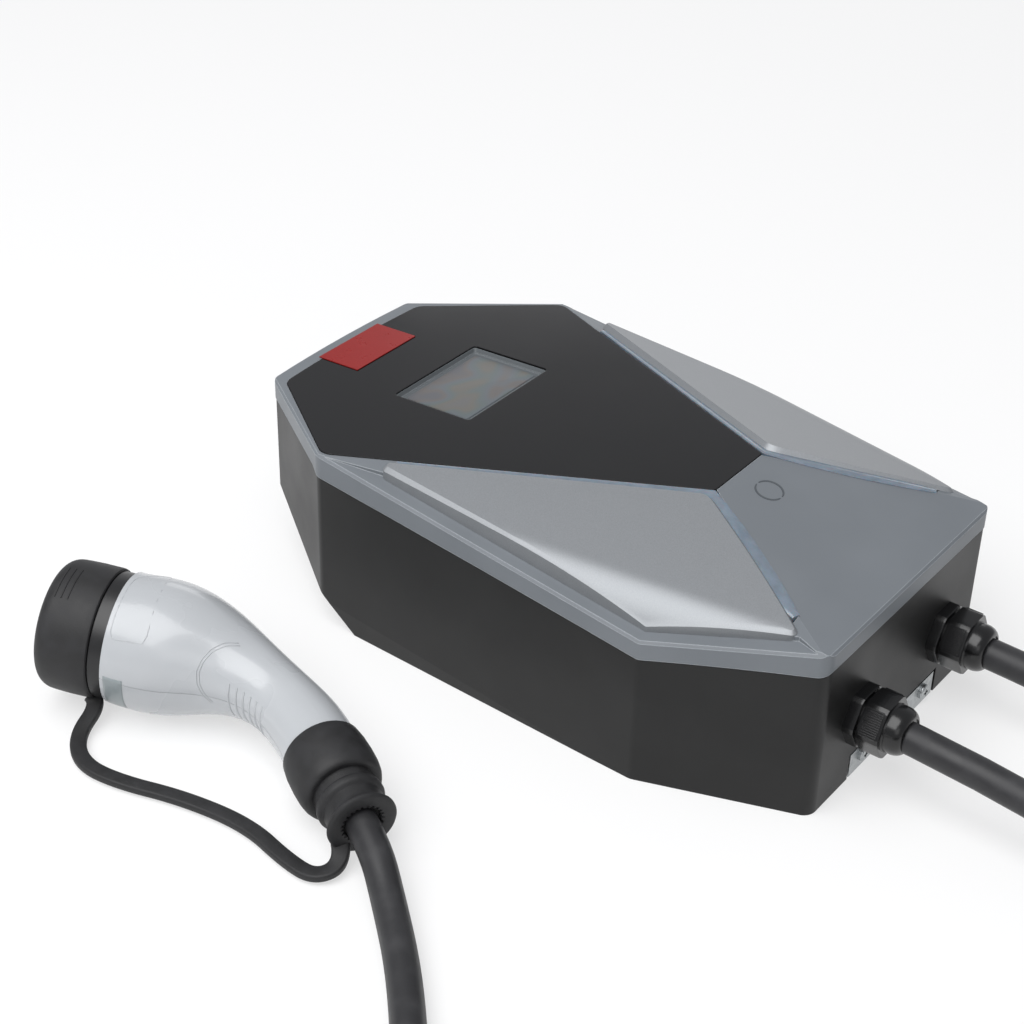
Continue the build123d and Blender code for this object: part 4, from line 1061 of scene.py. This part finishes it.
# Five insulated cores at the stripped end of the supply lead
core = {"radius": 0.002, "ring": 0.0042, "run": 0.020, "fan": 0.050, "spread": 0.015}
leadEnd = Vector(supplyPoints[-1])
leadWay = (leadEnd - Vector(supplyPoints[-2])).normalized()
leadSide = Vector((leadWay.y, -leadWay.x, 0))
for count, order in enumerate((0, -2, -1, 1, 2)):
    angle = radians(90 + 72 * count)
    start = leadEnd + leadSide * (core["ring"] * cos(angle)) + Vector((0, 0, core["ring"] * sin(angle)))
    bend = start + leadWay * core["run"]
    finish = leadEnd + leadWay * (core["run"] + core["fan"]) + leadSide * (order * core["spread"])
    finish.z = 0.0025 + (bend.z - 0.002) * 0.3
    route = [start - leadWay * 0.003, start + leadWay * 0.010, bend, bend.lerp(finish, 0.35), finish]
    settle(splineCurve("core_%d" % count, route, core["radius"], 8), coreFinishes[count])
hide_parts("supply_cores")
print("ties and cores made")

# Glands: a hexagonal flange and a hexagonal nut with fine knurling that ends in a dome
gland = {
    "flat": 0.015,
    "chamfer": 0.0011,
    "softness": 0.0009,
    "wallOut": -0.18484,
    "flange": 0.0055,
    "gap": 0.0015,
    "neck": 0.0122,
    "nut": 0.012,
    "domeRadius": 0.0127,
    "domeLong": 0.0065,
    "domeFall": 0.0041,
    "mouth": 0.0083,
    "knurls": 13,
    "knurlPitch": 0.00118,
    "knurlRadius": 0.00034,
    "knurledFaces": (30, 150, 270),
}
flatReach = gland["flat"] / cos(pi / 6)


def hexRing(spot, y, roundReach, inset=0.0):
    # A hexagon with eased corners, cut by a circle of roundReach for chamfers and round parts
    ring = []
    apothem = gland["flat"] - inset
    for count in range(72):
        angle = 2 * pi * count / 72
        offFlat = angle % (pi / 3) - pi / 6
        reach = min(apothem / cos(offFlat), apothem / cos(pi / 6) - gland["softness"], roundReach)
        ring.append(Vector((spot[0] + reach * cos(angle), y, spot[1] + reach * sin(angle))))
    return ring


def ringStack(name, rings):
    size = len(rings[0])
    points = [point for ring in rings for point in ring]
    return meshPiece(name, points, bandFaces(len(rings), size) + endFaces(len(rings), size), 16)


def knurlTree(material):
    # A rod instanced in a row, pitch and count given as inputs
    tree = bpy.data.node_groups.new("knurl_row", "GeometryNodeTree")
    tree.interface.new_socket("Geometry", in_out="INPUT", socket_type="NodeSocketGeometry")
    tree.interface.new_socket("Count", in_out="INPUT", socket_type="NodeSocketInt")
    for name in ("Pitch", "Radius", "Length"):
        tree.interface.new_socket(name, in_out="INPUT", socket_type="NodeSocketFloat")
    tree.interface.new_socket("Geometry", in_out="OUTPUT", socket_type="NodeSocketGeometry")
    given = addNode(tree, "NodeGroupInput").outputs
    offset = addNode(tree, "ShaderNodeCombineXYZ", X=given["Pitch"]).outputs[0]
    row = addNode(tree, "GeometryNodeMeshLine", Count=given["Count"], Offset=offset).outputs["Mesh"]
    rod = addNode(
        tree, "GeometryNodeMeshCylinder", Vertices=12, Radius=given["Radius"], Depth=given["Length"]
    )
    turned = addNode(tree, "GeometryNodeTransform", Geometry=rod.outputs["Mesh"], Rotation=(pi / 2, 0, 0))
    copies = addNode(tree, "GeometryNodeInstanceOnPoints", Points=row, Instance=turned.outputs["Geometry"])
    real = addNode(tree, "GeometryNodeRealizeInstances", Geometry=copies.outputs["Instances"])
    painted = addNode(tree, "GeometryNodeSetMaterial", Geometry=real.outputs["Geometry"], Material=material)
    addNode(tree, "NodeGroupOutput", painted.outputs["Geometry"])
    return tree


def treeResult(name, tree, values):
    # The mesh that a geometry tree makes with these inputs
    holder = place(name, bpy.data.meshes.new(name))
    modifier = holder.modifiers.new("tree", "NODES")
    modifier.node_group = tree
    for socket in tree.interface.items_tree:
        if socket.in_out == "INPUT" and socket.name in values:
            modifier[socket.identifier] = values[socket.name]
    graph = bpy.context.evaluated_depsgraph_get()
    data = bpy.data.meshes.new_from_object(holder.evaluated_get(graph))
    holder.modifiers.remove(modifier)
    holder.data = data
    return holder


knurls = knurlTree(glandNylon.material)


def makeGland(word, spot):
    start, bite = gland["wallOut"], gland["chamfer"]
    face = start - gland["flange"]
    nutStart = face - gland["gap"]
    nutEnd = nutStart - gland["nut"]
    body = [
        hexRing(spot, start + 0.001, flatReach),
        hexRing(spot, face + bite, flatReach),
        hexRing(spot, face, flatReach - bite, 0.0002),
        hexRing(spot, face, gland["neck"]),
        hexRing(spot, nutStart - 0.002, gland["neck"]),
    ]
    nut = [
        hexRing(spot, nutStart, flatReach - bite),
        hexRing(spot, nutStart - 0.7 * bite, flatReach),
        hexRing(spot, nutEnd + bite, flatReach),
        hexRing(spot, nutEnd, flatReach - bite, 0.0002),
        hexRing(spot, nutEnd, gland["domeRadius"] + 0.0004),
        hexRing(spot, nutEnd - 0.0008, gland["domeRadius"]),
    ]
    for step in range(1, 12):
        angle = pi / 2 * step / 11
        radius = gland["domeRadius"] - gland["domeFall"] * (1 - cos(angle))
        nut.append(hexRing(spot, nutEnd - 0.0030 - gland["domeLong"] * sin(angle), radius))
    nut.append(hexRing(spot, nutEnd - 0.0088, gland["mouth"]))
    pieces = [ringStack(word + "_gland_cap", nut)]
    sizes = {
        "Count": gland["knurls"],
        "Pitch": gland["knurlPitch"],
        "Radius": gland["knurlRadius"],
        "Length": gland["nut"] - 0.0026,
    }
    halfRow = gland["knurlPitch"] * (gland["knurls"] - 1) / 2
    for degreesRound in gland["knurledFaces"]:
        row = treeResult("knurl", knurls, sizes)
        angle = radians(degreesRound)
        out = Vector((cos(angle), 0, sin(angle)))
        along = Vector((-sin(angle), 0, cos(angle)))
        middle = Vector((spot[0], (nutStart + nutEnd) / 2, spot[1])) + out * (gland["flat"] - 0.0001)
        for vertex in row.data.vertices:
            x, y, z = vertex.co
            vertex.co = middle + along * (x - halfRow) + out * z + Vector((0, y, 0))
        pieces.append(row)
    settle(ringStack(word + "_gland_flange", body), glandNylon, word + "_gland_body")
    settle(join(word + "_gland_clamp", pieces), glandNylon, word + "_gland_nut")


for word, points in (("left", chargingPoints), ("right", supplyPoints)):
    makeGland(word, (points[0][0], points[0][2]))
print("glands made")

# Cords given their finish and body, standing for the nodes they replace
settle(chargingCord, cableRubber, "charging_cable", "charging_coil", "charging_tail")
settle(supplyCord, cableRubber, "supply_lead")
connectorNodes = "connector_shell_upper connector_shell_lower connector_collar connector_nose".split()
connectorNodes += ["contact_carrier", "contact_sleeves"]

# Studio: pale floor, one large soft lamp above the back left, weak ones from the camera's side and behind
studio = {
    "floorReach": 4.0,
    "floorLevel": -0.0002,
    "paper": (0.93, 0.93, 0.93, 1),
    "whiteShare": 0.6,
    "sky": (0.95, 0.96, 1.0, 1),
    "skyStrength": 0.45,
    "middle": (-0.05, -0.05, 0.08),
}
reach, level = studio["floorReach"], studio["floorLevel"]
corners = [(x * reach, y * reach, level) for x, y in ((-1, -1), (1, -1), (1, 1), (-1, 1))]
floor = meshPiece("floor", corners, [(0, 1, 2, 3)])
floorFinish = bpy.data.materials.new("floor_paper")
floorFinish.use_nodes = True
floorTree = floorFinish.node_tree
floorTree.nodes.clear()


def floorNode(kind, *values, **named):
    return addNode(floorTree, "ShaderNode" + kind, *values, **named).outputs


paper = floorNode("BsdfDiffuse", Color=studio["paper"])[0]
white = floorNode("Emission", Strength=1.0)[0]
rays = floorNode("LightPath")
seen = rays["Is Camera Ray"]
for ray in ("Is Glossy Ray", "Is Transmission Ray"):
    seen = floorNode("Math", seen, rays[ray], operation="MAXIMUM")[0]
share = floorNode("Math", seen, studio["whiteShare"], operation="MULTIPLY")[0]
floorNode("OutputMaterial", floorNode("MixShader", share, paper, white)[0])
floor.data.materials.append(floorFinish)

world = bpy.data.worlds.new("studio")
bpy.context.scene.world = world
world.use_nodes = True
sky = world.node_tree.nodes["Background"].inputs
sky["Color"].default_value = studio["sky"]
sky["Strength"].default_value = studio["skyStrength"]


def softbox(name, towards, away, size, power):
    data = bpy.data.lights.new(name, "AREA")
    data.shape = "RECTANGLE"
    data.size = size[0]
    data.size_y = size[1]
    data.energy = power
    lamp = place(name, data)
    direction = Vector(towards).normalized()
    lamp.location = Vector(studio["middle"]) + direction * away
    lamp.rotation_euler = direction.to_track_quat("Z", "Y").to_euler()


softbox("key_lamp", (-0.47, 0.10, 0.87), 2.0, (1.9, 1.9), 42)
softbox("fill_lamp", (-0.75, -0.55, 0.45), 2.4, (1.0, 1.0), 3)
softbox("rim_lamp", (0.87, 0.45, 0.25), 2.4, (1.4, 0.6), 3.5)

bpy.context.scene.view_settings.view_transform = "Standard"
